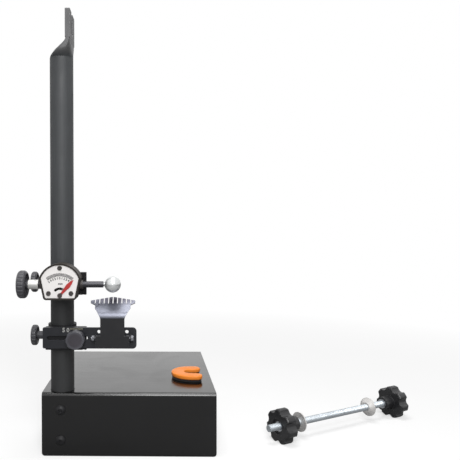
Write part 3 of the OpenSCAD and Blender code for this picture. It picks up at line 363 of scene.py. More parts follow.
class Smudge(SharedEffect):
    """Soft patches of handling and dust, which change the gloss."""

    name = "smudge"
    inputs = (("Vector", VECTOR, 0.0), ("Scale", FLOAT, 30.0))
    outputs = (("Mask", FLOAT),)
    patch_span = (0.38, 0.68)
    speck_scale = 22.0
    speck_span = (0.66, 0.8)
    speck_strength = 0.5

    def wire(
        self, graph: Graph, given: bpy.types.NodeOutputs, out: bpy.types.NodeInputs
    ) -> None:
        """Lays fine specks over broad, bent patches.

        Args:
            graph: the group's graph.
            given: the sockets of the group's inputs.
            out: the sockets of the group's outputs.
        """
        broad = graph.noise(given["Vector"], given["Scale"], detail=5.0, Distortion=0.6)
        speck_scale = graph.math("MULTIPLY", given["Scale"], self.speck_scale)
        specks = graph.noise(given["Vector"], speck_scale, detail=2.0)
        dots = graph.span(specks, 0.0, self.speck_strength, *self.speck_span)
        patches = graph.span(broad, 0.0, 1.0, *self.patch_span)
        graph.give(out["Mask"], graph.math("ADD", patches, dots, clamp=True))


class ToolLines(SharedEffect):
    """Fine parallel lines left by turning, drawing or brushing."""

    name = "tool_lines"
    inputs = (("Vector", VECTOR, 0.0), ("Stretch", VECTOR, 1.0), ("Scale", FLOAT, 60.0))
    outputs = (("Height", FLOAT), ("Tint", FLOAT))

    def wire(
        self, graph: Graph, given: bpy.types.NodeOutputs, out: bpy.types.NodeInputs
    ) -> None:
        """Stretches a noise so that it becomes lines.

        Args:
            graph: the group's graph.
            given: the sockets of the group's inputs.
            out: the sockets of the group's outputs.
        """
        stretched = graph.vector("MULTIPLY", given["Vector"], given["Stretch"])
        lines = graph.noise(stretched, given["Scale"], detail=4.0, Roughness=0.7)
        graph.give(out["Height"], lines)
        graph.give(out["Tint"], graph.span(lines, 0.0, 1.0, *self.tint_span))


@dataclass(frozen=True)
class Zone:
    """A part of a surface, inside a stretched ball, with a colour of its own; in metres. Most zones
    paint light or shade; the pointer's dark hub is a real second colour.
    """

    centre: Point
    radius: float
    colour: Shade
    blend: float = 0.0005
    metallic: float = 0.0
    stretch: Point = (1.0, 1.0, 1.0)

    def mask(self, graph: Graph, place: Socket) -> Socket:
        """Adds the zone's mask.

        Args:
            graph: the material's graph.
            place: the socket of the surface's coordinates.

        Returns:
            The mask's socket, 1 inside the zone.
        """
        scaled = graph.vector("MULTIPLY", place, self.stretch)
        middle = tuple(c * k for c, k in zip(self.centre, self.stretch))
        away = graph.vector("DISTANCE", scaled, middle)
        return graph.span(away, 1.0, 0.0, self.radius, self.radius + self.blend)


@dataclass(frozen=True)
class Finish:
    """A surface finish: its colour and gloss, its grain and tool lines, and how it is worn.

    Colours are red, green and blue from 0 to 255, and lengths are in metres.
    """

    name: str
    slot: Slot
    colour: Shade
    roughness: float
    specular: float = 0.5
    metallic: float = 0.0
    tint_spread: float = 0.12
    gloss_spread: float = 0.08
    least_roughness: float = 0.02
    grain_scale: float = 1500.0
    grain_depth: float = 0.00002
    smudge_scale: float = 30.0
    lines: Lines = Lines.NONE
    line_scale: float = 60.0
    line_depth: float = 0.0
    line_tint: float = 0.6
    edge_round: float = 0.0004
    wear_colour: Shade = (120, 120, 122)
    wear_amount: float = 0.2
    wear_metallic: float = 0.0
    wear_reach: float = 1.6
    wear_least: float = 0.0002
    wear_rougher: float = 0.12
    anisotropic: float = 0.0
    sheen: float = 0.0
    zones: tuple[Zone, ...] = ()

    def material(self) -> bpy.types.Material:
        """Builds the finish's material at the first call.

        Returns:
            The material.
        """
        if self.name in bpy.data.materials:
            return bpy.data.materials[self.name]
        made = bpy.data.materials.new(self.name)
        made.use_nodes = True
        graph = Graph(made.node_tree)
        place = graph.add("TexCoord").outputs["Object"]
        shader = graph.add(
            "BsdfPrincipled",
            {
                "Specular IOR Level": self.specular,
                "Anisotropic": self.anisotropic,
                "Sheen Weight": self.sheen,
            },
        )
        reach = max(self.edge_round, self.wear_least) * self.wear_reach
        wear = EdgeWear().place(graph, Vector=place, Radius=reach, Amount=self.wear_amount)["Mask"]
        tint, height = self.surface(graph, place)
        smudge = Smudge().place(graph, Vector=place, Scale=self.smudge_scale)["Mask"]
        masks = [zone.mask(graph, place) for zone in self.zones]
        graph.give(shader.inputs["Base Color"], self.coloured(graph, tint, wear, masks))
        low = max(self.roughness - self.gloss_spread, self.least_roughness)
        gloss = graph.span(smudge, low, min(self.roughness + self.gloss_spread, 1.0))
        rubbed = graph.math("MULTIPLY", wear, self.wear_rougher)
        graph.give(shader.inputs["Roughness"], graph.math("ADD", gloss, rubbed, clamp=True))
        graph.give(shader.inputs["Metallic"], self.metal(graph, wear, masks))
        bump = graph.add("Bump", {
            "Height": height, "Distance": self.grain_depth + self.line_depth, "Strength": 1.0,
            "Normal": graph.rounded(self.edge_round),
        })
        graph.give(shader.inputs["Normal"], bump.outputs[0])
        graph.add("OutputMaterial", {"Surface": shader.outputs[0]})
        return made

    def surface(self, graph: Graph, place: Socket) -> tuple[Socket, Socket]:
        """Adds the grain and the tool lines.

        Args:
            graph: the material's graph.
            place: the socket of the surface's coordinates.

        Returns:
            The sockets of the tint and of the height, each from 0 to 1.
        """
        grain = Grain().place(graph, Vector=place, Scale=self.grain_scale)
        if self.lines is Lines.NONE:
            return grain["Tint"], grain["Height"]
        stretch = self.lines.value
        lines = ToolLines().place(graph, Vector=place, Stretch=stretch, Scale=self.line_scale)
        share = self.line_depth / (self.grain_depth + self.line_depth)
        height = graph.blend(grain["Height"], lines["Height"], share)
        return graph.blend(grain["Tint"], lines["Tint"], self.line_tint), height

    def coloured(self, graph: Graph, tint: Socket, wear: Socket, masks: list[Socket]) -> Socket:
        """Adds the tinted colour, with its zones and its worn edges.

        Args:
            graph: the material's graph.
            tint: the socket of the tint.
            wear: the socket of the edge wear.
            masks: the sockets of the zones' masks.

        Returns:
            The colour's socket.
        """
        body = self.tinted(graph, tint, self.colour)
        for zone, mask in zip(self.zones, masks):
            body = graph.mix(mask, body, self.tinted(graph, tint, zone.colour))
        return graph.mix(wear, body, linear(self.wear_colour))

    def tinted(self, graph: Graph, tint: Socket, colour: Shade) -> Socket:
        """Adds a colour that the tint makes darker and lighter.

        Args:
            graph: the material's graph.
            tint: the socket of the tint.
            colour: the colour in the middle, from 0 to 255.

        Returns:
            The colour's socket.
        """
        dark = tuple(c * (1 - self.tint_spread) for c in colour)
        light = tuple(min(c * (1 + self.tint_spread), 255) for c in colour)
        return graph.mix(tint, linear(dark), linear(light))

    def metal(self, graph: Graph, wear: Socket, masks: list[Socket]) -> Value:
        """Adds how metallic the surface is.

        Args:
            graph: the material's graph.
            wear: the socket of the edge wear.
            masks: the sockets of the zones' masks.

        Returns:
            The value's socket, or the value itself where it is the same all over.
        """
        metal: Value = self.metallic
        if self.wear_metallic > self.metallic:
            metal = graph.span(wear, self.metallic, self.wear_metallic)
        for zone, mask in zip(self.zones, masks):
            if zone.metallic > 0:
                bare = graph.math("MULTIPLY", mask, zone.metallic)
                metal = graph.math("MAXIMUM", metal, bare)
        return metal


class Finishes:
    """The finishes of this stand, each named for where it is used."""

    sheet_enamel = Finish(
        "sheet_enamel", Slot.BLACK_SHEET, (8, 8, 9), 0.2, specular=0.52, tint_spread=0.15,
        gloss_spread=0.06, grain_scale=900, grain_depth=0.000012, lines=Lines.ALONG_X,
        line_scale=3, line_depth=0.0001, smudge_scale=14, edge_round=0.0008,
        wear_colour=(70, 70, 74), wear_amount=0.15,
    )
    bar_enamel = Finish(
        "bar_enamel", Slot.BLACK_SHEET, (36, 37, 41), 0.38, specular=0.3, grain_scale=1400,
        grain_depth=0.000015, edge_round=0.0004, wear_colour=(120, 120, 124), wear_amount=0.3,
    )
    tube_enamel = Finish(
        "tube_enamel", Slot.BLACK_TUBE, (58, 60, 62), 0.6, specular=0.42, tint_spread=0.08,
        gloss_spread=0.06, grain_scale=1200, grain_depth=0.00001, lines=Lines.ALONG_Z,
        line_scale=12, line_depth=0.00002, smudge_scale=20, edge_round=0.0009,
        wear_colour=(190, 190, 195), wear_amount=0.35, wear_metallic=0.4,
        zones=(
            # Painted shade: the tube is darker low down, below about 0.21 m and fading out by 0.24
            # m, where less light reaches it.
            Zone((-0.092, 0.0178, 0.1), 0.11, (38, 39, 40), blend=0.03, stretch=(0.0, 0.0, 1.0)),
            # Painted reflection: the axle tab above about 0.55 m is lighter and more metallic,
            # standing in for the bright surround it reflects.
            Zone(
                (-0.092, 0.0178, 0.6), 0.054, (88, 88, 89), blend=0.006, metallic=0.35,
                stretch=(0.0, 0.0, 1.0),
            ),
        ),
    )
    cast_enamel = Finish(
        "cast_enamel", Slot.BLACK_CAST, (18, 18, 20), 0.6, specular=0.24, tint_spread=0.18,
        grain_scale=1600, grain_depth=0.00004, smudge_scale=45, edge_round=0.0006,
        wear_colour=(80, 80, 84), wear_amount=0.3,
    )
    case_enamel = Finish(
        "case_enamel", Slot.BLACK_CAST, (42, 38, 34), 0.6, specular=0.26, tint_spread=0.18,
        grain_scale=1600, grain_depth=0.00004, smudge_scale=45, edge_round=0.0006,
        wear_colour=(80, 80, 84), wear_amount=0.3,
    )
    black_screws = Finish(
        "black_screws", Slot.BLACK_STEEL, (58, 54, 52), 0.42, metallic=0.2, grain_scale=2600,
        grain_depth=0.00001, lines=Lines.ROUND_Y, line_depth=0.00001, edge_round=0.00035,
        wear_colour=(120, 118, 114), wear_amount=0.35, wear_metallic=0.6,
    )
    painted_bolts = Finish(
        "painted_bolts", Slot.BLACK_STEEL, (26, 26, 28), 0.5, specular=0.25, grain_scale=1200,
        grain_depth=0.00001, edge_round=0.0005, wear_colour=(60, 60, 62), wear_amount=0.3,
    )
    zinc_plate = Finish(
        "zinc_plate", Slot.ZINC, (196, 199, 204), 0.3, metallic=1.0, tint_spread=0.08,
        grain_scale=2200, grain_depth=0.00001, smudge_scale=60, edge_round=0.00025,
        wear_colour=(226, 226, 228), wear_amount=0.4,
    )
    dull_zinc = Finish(
        "dull_zinc", Slot.ZINC, (128, 129, 134), 0.42, metallic=0.9, tint_spread=0.1,
        grain_scale=2200, grain_depth=0.00001, smudge_scale=70, edge_round=0.0003,
        wear_colour=(170, 170, 174), wear_amount=0.4,
    )
    oxide_rod = Finish(
        "oxide_rod", Slot.CHROME, (54, 54, 58), 0.3, metallic=0.5, tint_spread=0.08,
        gloss_spread=0.04, grain_scale=2600, grain_depth=0.000002, lines=Lines.ROUND_X,
        line_scale=90, line_depth=0.000002, edge_round=0.0002, wear_colour=(150, 150, 154),
        wear_amount=0.4,
    )
    turned_zinc = Finish(
        "turned_zinc", Slot.ZINC, (210, 208, 206), 0.42, metallic=0.45, tint_spread=0.08,
        grain_scale=2200, grain_depth=0.00001, smudge_scale=60, edge_round=0.00025,
        wear_colour=(230, 230, 230), wear_amount=0.4,
    )
    rolled_thread = Finish(
        "rolled_thread", Slot.ZINC, (178, 184, 189), 0.42, metallic=0.7, tint_spread=0.05,
        grain_scale=2200, grain_depth=0.000006, smudge_scale=60, edge_round=0.0002,
        wear_colour=(214, 216, 220), wear_amount=0.3,
    )
    chrome_plate = Finish(
        "chrome_plate", Slot.CHROME, (208, 210, 210), 0.28, metallic=0.6, tint_spread=0.03,
        gloss_spread=0.04, grain_scale=2600, grain_depth=0.000003, smudge_scale=50,
        edge_round=0.0002, wear_colour=(232, 232, 234), wear_amount=0.3,
        # Painted shade: the thin neck between rod and ball is grey, dimming the lamp's highlight on
        # it.
        zones=(Zone((-0.0334, -0.016, 0.2328), 0.003, (110, 110, 112)),),
    )
    turned_aluminium = Finish(
        "turned_aluminium", Slot.ALUMINIUM, (200, 200, 197), 0.5, metallic=0.5, tint_spread=0.06,
        grain_scale=2600, grain_depth=0.000004, lines=Lines.ROUND_X, line_scale=90,
        line_depth=0.00001, edge_round=0.0003, wear_colour=(240, 240, 240), wear_amount=0.5,
        anisotropic=0.4,
    )
    spring_wire = Finish(
        "spring_wire", Slot.SPRING_STEEL, (168, 170, 174), 0.28, metallic=1.0, grain_scale=3000,
        grain_depth=0.000005, edge_round=0.0001, wear_colour=(200, 200, 204), wear_amount=0.3,
    )
    blued_strip = Finish(
        "blued_strip", Slot.FEELER_STEEL, (12, 12, 16), 0.36, specular=0.5, metallic=0.05,
        tint_spread=0.08, gloss_spread=0.03, grain_scale=1800, grain_depth=0.000001,
        lines=Lines.ALONG_Z, line_scale=40, line_depth=0.000001, smudge_scale=40, edge_round=0.0004,
        wear_colour=(190, 190, 200), wear_amount=0.3, wear_metallic=0.7,
        zones=(
            # Painted reflection: the feeler above 0.1895 m, bend and leaf, is lighter and more
            # metallic, standing in for the bright surround it reflects.
            Zone((-0.0205, -0.02, 1.1895), 1.0, (102, 104, 114), metallic=0.62),
            # Painted shade: the comb's teeth at the top of the leaf are darker, where they catch
            # less of that reflection.
            Zone(
                (-0.0205, -0.01, 0.2165), 0.006, (58, 56, 66), blend=0.007,
                stretch=(0.25, 0.0, 1.0),
            ),
        ),
    )
    star_moulding = Finish(
        "star_moulding", Slot.BLACK_PLASTIC, (34, 34, 36), 0.36, specular=0.5, tint_spread=0.12,
        grain_scale=900, grain_depth=0.00002, edge_round=0.0008, wear_colour=(70, 70, 74),
        wear_amount=0.3,
    )
    lock_moulding = Finish(
        # Painted highlight: the knob's lighter colour outside the zone's darker middle disc stands
        # in for the highlight on its rim.
        "lock_moulding", Slot.BLACK_PLASTIC, (72, 72, 78), 0.42, specular=0.45, tint_spread=0.12,
        grain_scale=900, grain_depth=0.00002, edge_round=0.0004, wear_colour=(100, 100, 106),
        wear_amount=0.3,
        zones=(
            Zone((-0.069, 0.0, 0.161), 0.0078, (54, 51, 57), blend=0.003, stretch=(1.0, 0.0, 1.0)),
        ),
    )
    moulded_black = Finish(
        "moulded_black", Slot.BLACK_PLASTIC, (64, 64, 68), 0.42, specular=0.45, tint_spread=0.12,
        grain_scale=2200, grain_depth=0.00002, smudge_scale=60, edge_round=0.0005,
        wear_colour=(86, 86, 92), wear_amount=0.25,
    )
    dial_card = Finish(
        "dial_card", Slot.DIAL_WHITE, (236, 233, 231), 0.5, tint_spread=0.015, grain_scale=1800,
        grain_depth=0.000004, smudge_scale=40, edge_round=0.0003, wear_colour=(180, 178, 172),
        wear_amount=0.2,
    )
    pointer_paint = Finish(
        "pointer_paint", Slot.POINTER_RED, (184, 48, 46), 0.4, tint_spread=0.08, grain_scale=2400,
        grain_depth=0.000005, edge_round=0.00015, wear_colour=(150, 60, 54), wear_amount=0.2,
        zones=(Zone((-0.088, -0.0295, 0.2196), 0.0038, (84, 54, 54)),),
    )
    orange_moulding = Finish(
        "orange_moulding", Slot.ORANGE_PLASTIC, (240, 138, 48), 0.48, specular=0.3,
        tint_spread=0.03, grain_scale=2000, grain_depth=0.00001, smudge_scale=50, edge_round=0.0006,
        wear_colour=(240, 170, 110), wear_amount=0.35,
    )
    # Painted shadow: the dark pad under the spacer stands in for the spacer's shadow and dark
    # reflection on the base.
    pad_foam = Finish(
        "pad_foam", Slot.PAD_RUBBER, (30, 28, 28), 0.8, specular=0.25, tint_spread=0.25,
        grain_scale=1400, grain_depth=0.00012, smudge_scale=60, edge_round=0.0006,
        wear_colour=(70, 66, 64), wear_amount=0.3, sheen=0.15,
    )
    black_print = Finish(
        "black_print", Slot.DIAL_WHITE, (40, 40, 42), 0.5, tint_spread=0.1, grain_scale=2600,
        grain_depth=0.000003, edge_round=0.00005, wear_amount=0.1,
    )
    scale_print = Finish(
        "scale_print", Slot.DIAL_WHITE, (146, 144, 126), 0.5, tint_spread=0.05, grain_scale=2600,
        grain_depth=0.000003, edge_round=0.00005, wear_colour=(120, 118, 108), wear_amount=0.2,
    )
    white_print = Finish(
        "white_print", Slot.DIAL_WHITE, (168, 168, 165), 0.5, tint_spread=0.05, grain_scale=2600,
        grain_depth=0.000003, edge_round=0.00005, wear_colour=(150, 148, 140), wear_amount=0.2,
    )

def add_object(name: str, content: bpy.types.ID) -> bpy.types.Object:
    """Adds an object to the scene.

    Args:
        name: its name.
        content: its mesh, light or camera.

    Returns:
        The new object.
    """
    made = bpy.data.objects.new(name, content)
    bpy.context.scene.collection.objects.link(made)
    return made


def dress(finish: Finish, *nodes: str) -> None:
    """Gives CAD nodes a finish.

    Args:
        finish: the finish.
        *nodes: the nodes' names.
    """
    for name in nodes:
        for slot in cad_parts[name].material_slots:
            slot.material = finish.material()
        log.info("dressed %s in %s", name, finish.name)


def whole(shape: bmesh.types.BMesh) -> list[Part]:
    """Returns every point, edge and face of a shape."""
    return shape.verts[:] + shape.edges[:] + shape.faces[:]


def piece(
    shape: bmesh.types.BMesh, name: str, body: str, finish: Finish, replaces: tuple[str, ...] = ()
) -> None:
    """Makes an object of a finished shape and lets it ride on a body.

    Args:
        shape: the shape, in its place; it is freed here.
        name: the piece's name.
        body: the CAD body that carries it.
        finish: its finish.
        replaces: the CAD nodes that it stands for.
    """
    mesh = bpy.data.meshes.new(name)
    for face in shape.faces:
        face.smooth = True
    for edge in shape.edges:
        edge.smooth = len(edge.link_faces) == 2 and edge.calc_face_angle(0.0) < SMOOTH_BELOW
    shape.to_mesh(mesh)
    shape.free()
    mesh.materials.append(finish.material())
    made = add_object(name, mesh)
    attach(made, body)
    if replaces:
        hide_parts(*replaces)
    log.info("built %s, %d faces, on %s", name, len(mesh.polygons), body)


class Print:
    """Thin printed marks that lie on a front face, gathered in one shape."""

    ink = 0.05 * MM
    digit_share = 0.7
    curve_steps = 3

    def __init__(self, face_y: float) -> None:
        """Starts an empty print.

        Args:
            face_y: where the printed face lies, in Y.
        """
        self.shape = bmesh.new()
        self.face_y = face_y

    def at(self, centre: Spot, turn: float) -> Matrix:
        """Returns the turn and place of a mark whose ink lies on the face."""
        place = Matrix.Translation((centre[0], self.face_y - self.ink / 2, centre[1]))
        return place @ Matrix.Rotation(turn, 4, "Y")

    def bar(self, centre: Spot, length: float, width: float, turn: float = 0.0) -> None:
        """Adds a straight mark.

        Args:
            centre: its middle, in X and Z.
            length: its length, along Z before it is turned.
            width: its width.
            turn: how far it leans to +X, in radians.
        """
        size = Matrix.Diagonal((width, self.ink, length, 1.0))
        bmesh.ops.create_cube(self.shape, size=1.0, matrix=self.at(centre, turn) @ size)

    def text(
        self, words: str, centre: Spot, height: float, turn: float = 0.0, bold: float = 0.0
    ) -> None:
        """Adds letters or numbers.

        Args:
            words: what is written.
            centre: the middle of the words, in X and Z.
            height: the height of a number.
            turn: how far the words lean to +X, in radians.
            bold: how much every stroke is thickened on each side.
        """
        curve = bpy.data.curves.new("words", "FONT")
        curve.body = words
        curve.size = height / self.digit_share
        curve.align_x = "CENTER"
        curve.align_y = "CENTER"
        curve.extrude = self.ink / 2
        curve.offset = bold
        curve.resolution_u = self.curve_steps
        holder = bpy.data.objects.new("words", curve)
        mesh = bpy.data.meshes.new_from_object(holder)
        mesh.transform(self.at(centre, turn) @ Matrix.Rotation(math.pi / 2, 4, "X"))
        self.shape.from_mesh(mesh)
        bpy.data.objects.remove(holder)
        bpy.data.meshes.remove(mesh)
        bpy.data.curves.remove(curve)


class Assembly:
    """A sub-assembly: the finishes of its CAD nodes, and the pieces that it adds to them."""

    def dress(self) -> None:
        """Gives the sub-assembly's nodes their finishes."""
        raise NotImplementedError

    def build(self) -> None:
        """Adds nothing, for a sub-assembly that has no pieces beside its nodes."""


@dataclass
class Stand(Assembly):
    """The folded base, the post with its axle tab, and the two bolts that join them."""

    def dress(self) -> None:
        """Gives the stand's nodes their finishes."""
        dress(Finishes.sheet_enamel, "base_housing")
        dress(Finishes.tube_enamel, "post_tube")
        dress(Finishes.painted_bolts, "post_bolts")
        dress(Finishes.zinc_plate, "post_washers", "post_nuts")


@dataclass
class DialGauge(Assembly):
    """The upper carriage: its case, dial, pointer and plunger. Angles are in degrees."""

    pivot_x: float = -88.0 * MM
    pivot_z: float = 219.6 * MM
    plate_y: float = -28.8 * MM
    tick_in: float = 25.0 * MM
    tick_out: float = 29.0 * MM
    tick_width: float = 0.3 * MM
    tick_step: float = 1.0
    tick_last: float = 38.0
    long_tick: float = 1.2
    long_tick_every: int = 4
    long_tick_first: int = 2
    number_radius: float = 22.4 * MM
    number_height: float = 2.9 * MM
    number_bold: float = 0.15 * MM
    number_step: float = 7.66
    number_last: int = 5
    unit_place: Spot = (-87.2 * MM, 234.9 * MM)
    unit_height: float = 2.7 * MM
    unit_bold: float = 0.16 * MM

    def on_dial(self, radius: float, degrees: float) -> Spot:
        """Returns the X and Z of a point on the dial, at an angle from straight up towards +X."""
        angle = math.radians(degrees)
        return self.pivot_x + radius * math.sin(angle), self.pivot_z + radius * math.cos(angle)

    def dress(self) -> None:
        """Gives the gauge's nodes their finishes."""
        dress(Finishes.cast_enamel, "gauge_collar")
        dress(Finishes.case_enamel, "gauge_case")
        dress(Finishes.black_screws, "case_screws", "dial_screws", "pivot_pin", "rod_bushes")
        dress(Finishes.dial_card, "dial_plate")
        dress(Finishes.oxide_rod, "plunger_rod")
        dress(Finishes.chrome_plate, "ball_tip")
        dress(Finishes.zinc_plate, "gauge_clamp_stud")
        dress(Finishes.moulded_black, "gauge_clamp_knob", "pull_knob")
        dress(Finishes.turned_aluminium, "rod_sleeve")
        dress(Finishes.pointer_paint, "pointer", "drive_pin")
        dress(Finishes.spring_wire, "plunger_spring", "plunger_driver")

    def build(self) -> None:
        """Prints the scale, its numbers and its unit on the dial plate."""
        ticks = Print(self.plate_y)
        middle = (self.tick_in + self.tick_out) / 2
        for i in range(round(2 * self.tick_last / self.tick_step) + 1):
            degrees = -self.tick_last + i * self.tick_step
            long = i % self.long_tick_every == self.long_tick_first
            length = (self.tick_out - self.tick_in) * (self.long_tick if long else 1.0)
            place = self.on_dial(middle, degrees)
            ticks.bar(place, length, self.tick_width, math.radians(degrees))
        numbers = Print(self.plate_y)
        for number in range(-self.number_last, self.number_last + 1):
            degrees = number * self.number_step
            place = self.on_dial(self.number_radius, degrees)
            turn = math.radians(degrees)
            numbers.text(str(abs(number)), place, self.number_height, turn, self.number_bold)
        unit = Print(self.plate_y)
        unit.text("mm", self.unit_place, self.unit_height, bold=self.unit_bold)
        for name, marks in (
            ("dial_ticks", ticks), ("dial_numbers", numbers), ("dial_unit_mark", unit),
        ):
            piece(marks.shape, name, "gauge_carriage", Finishes.black_print)


@dataclass
class FeelerCarriage(Assembly):
    """The lower carriage: its clamp, the slotted bar with its scale, and the comb feeler."""

    bar_front: float = -10.7 * MM
    tick_from: float = -77.0 * MM
    tick_to: float = -61.0 * MM
    tick_step: float = 1.0 * MM
    tick_z: float = 173.1 * MM
    tick_length: float = 2.6 * MM
    tick_width: float = 0.36 * MM
    long_tick: float = 3.4 * MM
    long_tick_every: int = 4
    digits: tuple[tuple[str, float], ...] = (("5", -86.0 * MM), ("0", -80.2 * MM))
    digit_z: float = 171.3 * MM
    digit_height: float = 5.4 * MM
    digit_bold: float = 0.2 * MM

    def dress(self) -> None:
        """Gives the carriage's nodes their finishes."""
        dress(Finishes.cast_enamel, "feeler_collar")
        dress(Finishes.zinc_plate, "feeler_clamp_stud", "bar_lock_stud", "bar_lock_washer")
        dress(Finishes.dull_zinc, "hinge_pin", "hinge_nut")
        dress(Finishes.moulded_black, "feeler_clamp_knob")
        dress(Finishes.lock_moulding, "bar_lock_knob")
        dress(Finishes.bar_enamel, "feeler_bar")
        dress(Finishes.blued_strip, "comb_feeler")

    def build(self) -> None:
        """Prints the scale and the numbers on the bar's front."""
        scale = Print(self.bar_front)
        for i in range(round((self.tick_to - self.tick_from) / self.tick_step) + 1):
            length = self.tick_length if i % self.long_tick_every else self.long_tick
            place = (self.tick_from + i * self.tick_step, self.tick_z)
            scale.bar(place, length, self.tick_width)
        piece(scale.shape, "bar_scale", "sliding_bar", Finishes.scale_print)
        number = Print(self.bar_front)
        for digit, middle in self.digits:
            number.text(digit, (middle, self.digit_z), self.digit_height, bold=self.digit_bold)
        piece(number.shape, "bar_number", "sliding_bar", Finishes.white_print)


@dataclass
class Adaptor(Assembly):
    """The loose through-axle adaptor: its threaded rod, star knobs and cone washers."""

    middle: Vector = field(default_factory=lambda: Vector((217.0, 52.0, 23.217)) * MM)
    direction: Vector = field(default_factory=lambda: Vector((0.876307, 0.481754, 0.0)))
    start: float = -25.0 * MM
    end: float = 237.0 * MM
    radius: float = 5.0 * MM
    root: float = 4.5 * MM
    pitch: float = 1.5 * MM
    crest_share: float = 0.25
    steps: int = 24
    turn_gap: float = 0.004 * MM
    point_gap: float = 0.002 * MM

    def dress(self) -> None:
        """Gives the adaptor's nodes their finishes."""
        dress(Finishes.star_moulding, "head_knob", "star_nut_knob")
        dress(Finishes.zinc_plate, "axle_rod", "head_insert", "star_nut_insert")
        dress(Finishes.turned_zinc, "outer_cone", "inner_cone")

    def placed(self) -> Matrix:
        """Returns the turn and place that lay the Z axis along the rod."""
        turn = self.direction.normalized().to_track_quat("Z", "Y").to_matrix().to_4x4()
        return Matrix.Translation(self.middle) @ turn

    def one_turn(self) -> bmesh.types.BMesh:
        """Spins one turn of the thread, two pitches below the rod's start.

        Returns:
            The turn's open shape, along the Z axis.
        """
        rod = bmesh.new()
        middle, half = self.pitch / 2, self.pitch * self.crest_share / 2
        profile = (
            (self.root, 0.0), (self.radius, middle - half),
            (self.radius, middle + half), (self.root, self.pitch),
        )
        points = [rod.verts.new((r, 0.0, self.start - 2 * self.pitch + z)) for r, z in profile]
        edges = [rod.edges.new(pair) for pair in zip(points, points[1:])]
        bmesh.ops.spin(
            rod, geom=points + edges, cent=(0, 0, 0), axis=(0, 0, 1),
            dvec=(0, 0, self.pitch / self.steps), angle=2 * math.pi, steps=self.steps,
            use_merge=False,
        )
        return rod

    def build(self) -> None:
        """Repeats the thread's turn along the rod, and cuts and closes the ends."""
        rod = self.one_turn()
        reach = self.end - self.start + 3 * self.pitch
        made = self.pitch
        while made < reach:
            copy = bmesh.ops.duplicate(rod, geom=whole(rod))["geom"]
            moved = [part for part in copy if isinstance(part, bmesh.types.BMVert)]
            bmesh.ops.translate(rod, verts=moved, vec=(0, 0, made))
            made *= 2
        bmesh.ops.remove_doubles(rod, verts=rod.verts[:], dist=self.turn_gap)
        for level, side in ((self.start, -1.0), (self.end, 1.0)):
            cut = bmesh.ops.bisect_plane(
                rod, geom=whole(rod), plane_co=(0, 0, level), plane_no=(0, 0, side),
                clear_outer=True,
            )
            rim = [part for part in cut["geom_cut"] if isinstance(part, bmesh.types.BMEdge)]
            bmesh.ops.holes_fill(rod, edges=rim, sides=0)
        bmesh.ops.remove_doubles(rod, verts=rod.verts[:], dist=self.point_gap)
        bmesh.ops.recalc_face_normals(rod, faces=rod.faces[:])
        rod.transform(self.placed())
        piece(rod, "threaded_rod", "adaptor", Finishes.rolled_thread, replaces=("axle_rod",))


@dataclass
class Spacer(Assembly):
    """The orange horseshoe spacer on the base, over a dark pad of painted shadow and reflection."""

    def dress(self) -> None:
        """Gives the spacer's nodes their finishes."""
        dress(Finishes.orange_moulding, "slot_spacer")
        dress(Finishes.pad_foam, "spacer_pad")


@dataclass
class Lamp:
    """One soft rectangular lamp, aimed at a point."""

    name: str
    place: Point
    target: Point
    size: Spot
    radiance: float

    def build(self) -> None:
        """Adds the lamp to the scene."""
        light = bpy.data.lights.new(self.name, "AREA")
        light.shape = "RECTANGLE"
        light.size, light.size_y = self.size
        light.energy = self.radiance * math.pi * self.size[0] * self.size[1]
        aim = (Vector(self.target) - Vector(self.place)).to_track_quat("-Z", "Y")
        turn = aim.to_matrix().to_4x4()
        add_object(self.name, light).matrix_world = Matrix.Translation(self.place) @ turn


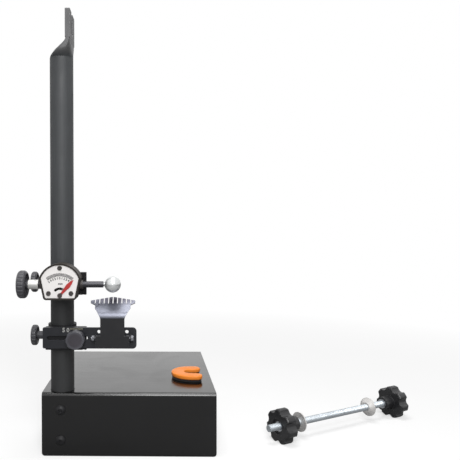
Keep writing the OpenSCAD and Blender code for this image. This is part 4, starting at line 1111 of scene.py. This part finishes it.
@dataclass
class Studio:
    """The pale floor, the white surround, the lamps and the camera."""

    floor_half: float = 12.0
    floor_level: float = -0.05 * MM
    floor_shade: Shade = (178, 178, 178)
    floor_darker: Shade = (176, 176, 176)
    floor_grain: float = 300.0
    floor_lift: float = 0.6
    fade_from: float = 0.45
    fade_to: float = 1.3
    surround: float = 0.16
    surround_mirrored: float = 1.18
    camera_place: Point = (0.0312, -0.7482, 0.3118)
    camera_turn: Point = (1.17, -0.65, -0.12)
    lens: float = 43.74
    sensor: float = 36.0
    shift: Spot = (0.1948, 0.0011)
    clip: Spot = (0.01, 60.0)
    lamps: tuple[Lamp, ...] = (
        Lamp("front_box", (0.1, -1.15, 1.0), (0.0, 0.0, 0.2), (0.46, 1.05), 11.0),
        Lamp("top_box", (0.0, -0.1, 1.9), (0.0, -0.1, 0.0), (0.9, 0.9), 6.8),
    )

    def build_world(self) -> None:
        """Makes a surround that looks white, shines a little in gloss and lights more softly."""
        world = bpy.data.worlds.new("surround")
        bpy.context.scene.world = world
        world.use_nodes = True
        graph = Graph(world.node_tree)
        path = graph.add("LightPath").outputs
        glossy = path["Is Glossy Ray"]
        seen = graph.math("ADD", path["Is Camera Ray"], glossy, clamp=True)
        seen = graph.math("ADD", seen, path["Is Transmission Ray"], clamp=True)
        shown = graph.span(seen, self.surround, 1.0)
        mirrored = graph.span(glossy, 1.0, self.surround_mirrored)
        strength = graph.math("MULTIPLY", shown, mirrored)
        white = graph.add("Background", {"Color": (1, 1, 1, 1), "Strength": strength})
        graph.add("OutputWorld", {"Surface": white.outputs[0]})

    def paper(self) -> bpy.types.Material:
        """Makes the floor's paper, which keeps the shadows near the stand and is white far off.

        The camera sees the paper a little lifted, so that it is white where no shadow falls.

        Returns:
            The paper's material.
        """
        made = bpy.data.materials.new("floor_paper")
        made.use_nodes = True
        graph = Graph(made.node_tree)
        place = graph.add("TexCoord").outputs["Object"]
        grain = Grain().place(graph, Vector=place, Scale=self.floor_grain)
        colour = graph.mix(grain["Tint"], linear(self.floor_shade), linear(self.floor_darker))
        matt = graph.add("BsdfDiffuse", {"Color": colour})
        camera_ray = graph.add("LightPath").outputs["Is Camera Ray"]
        lifted = graph.math("MULTIPLY", camera_ray, self.floor_lift)
        lift = graph.add("Emission", {"Strength": lifted})
        near = graph.add("AddShader", {0: matt.outputs[0], 1: lift.outputs[0]})
        distance = graph.vector("LENGTH", place)
        fade = graph.span(distance, 0.0, 1.0, self.fade_from, self.fade_to)
        far = graph.math("MULTIPLY", fade, camera_ray)
        white = graph.add("Emission", {"Strength": 1.0})
        both = graph.add("MixShader", {0: far, 1: near.outputs[0], 2: white.outputs[0]})
        graph.add("OutputMaterial", {"Surface": both.outputs[0]})
        return made

    def build_floor(self) -> None:
        """Lays the floor just under the stand's feet."""
        shape = bmesh.new()
        bmesh.ops.create_grid(shape, x_segments=2, y_segments=2, size=self.floor_half)
        bmesh.ops.translate(shape, verts=shape.verts[:], vec=(0, 0, self.floor_level))
        mesh = bpy.data.meshes.new("floor")
        shape.to_mesh(mesh)
        shape.free()
        mesh.materials.append(self.paper())
        add_object("floor", mesh)

    def build_camera(self) -> None:
        """Sets the camera where the photograph was taken from.

        Its turns, in degrees, are to the left, up, and round its own line of sight.
        """
        camera = bpy.data.cameras.new("camera")
        camera.lens = self.lens
        camera.sensor_width = self.sensor
        camera.shift_x, camera.shift_y = self.shift
        camera.clip_start, camera.clip_end = self.clip
        yaw, pitch, roll = (math.radians(a) for a in self.camera_turn)
        level = Matrix.Rotation(yaw, 4, "Z") @ Matrix.Rotation(math.pi / 2 + pitch, 4, "X")
        holder = add_object("camera", camera)
        place = Matrix.Translation(self.camera_place)
        holder.matrix_world = place @ level @ Matrix.Rotation(roll, 4, "Z")
        bpy.context.scene.camera = holder

    def build(self) -> None:
        """Builds the whole studio."""
        bpy.context.scene.view_settings.view_transform = "Standard"
        self.build_world()
        self.build_floor()
        for lamp in self.lamps:
            lamp.build()
        self.build_camera()
        log.info("studio built")


def main() -> None:
    """Sets up the studio, then dresses and builds the sub-assemblies in order."""
    logging.basicConfig(level=logging.INFO, format="%(name)s: %(message)s")
    Studio().build()
    for assembly in (Stand(), DialGauge(), FeelerCarriage(), Adaptor(), Spacer()):
        assembly.dress()
        assembly.build()


if __name__ == "__main__":
    main()
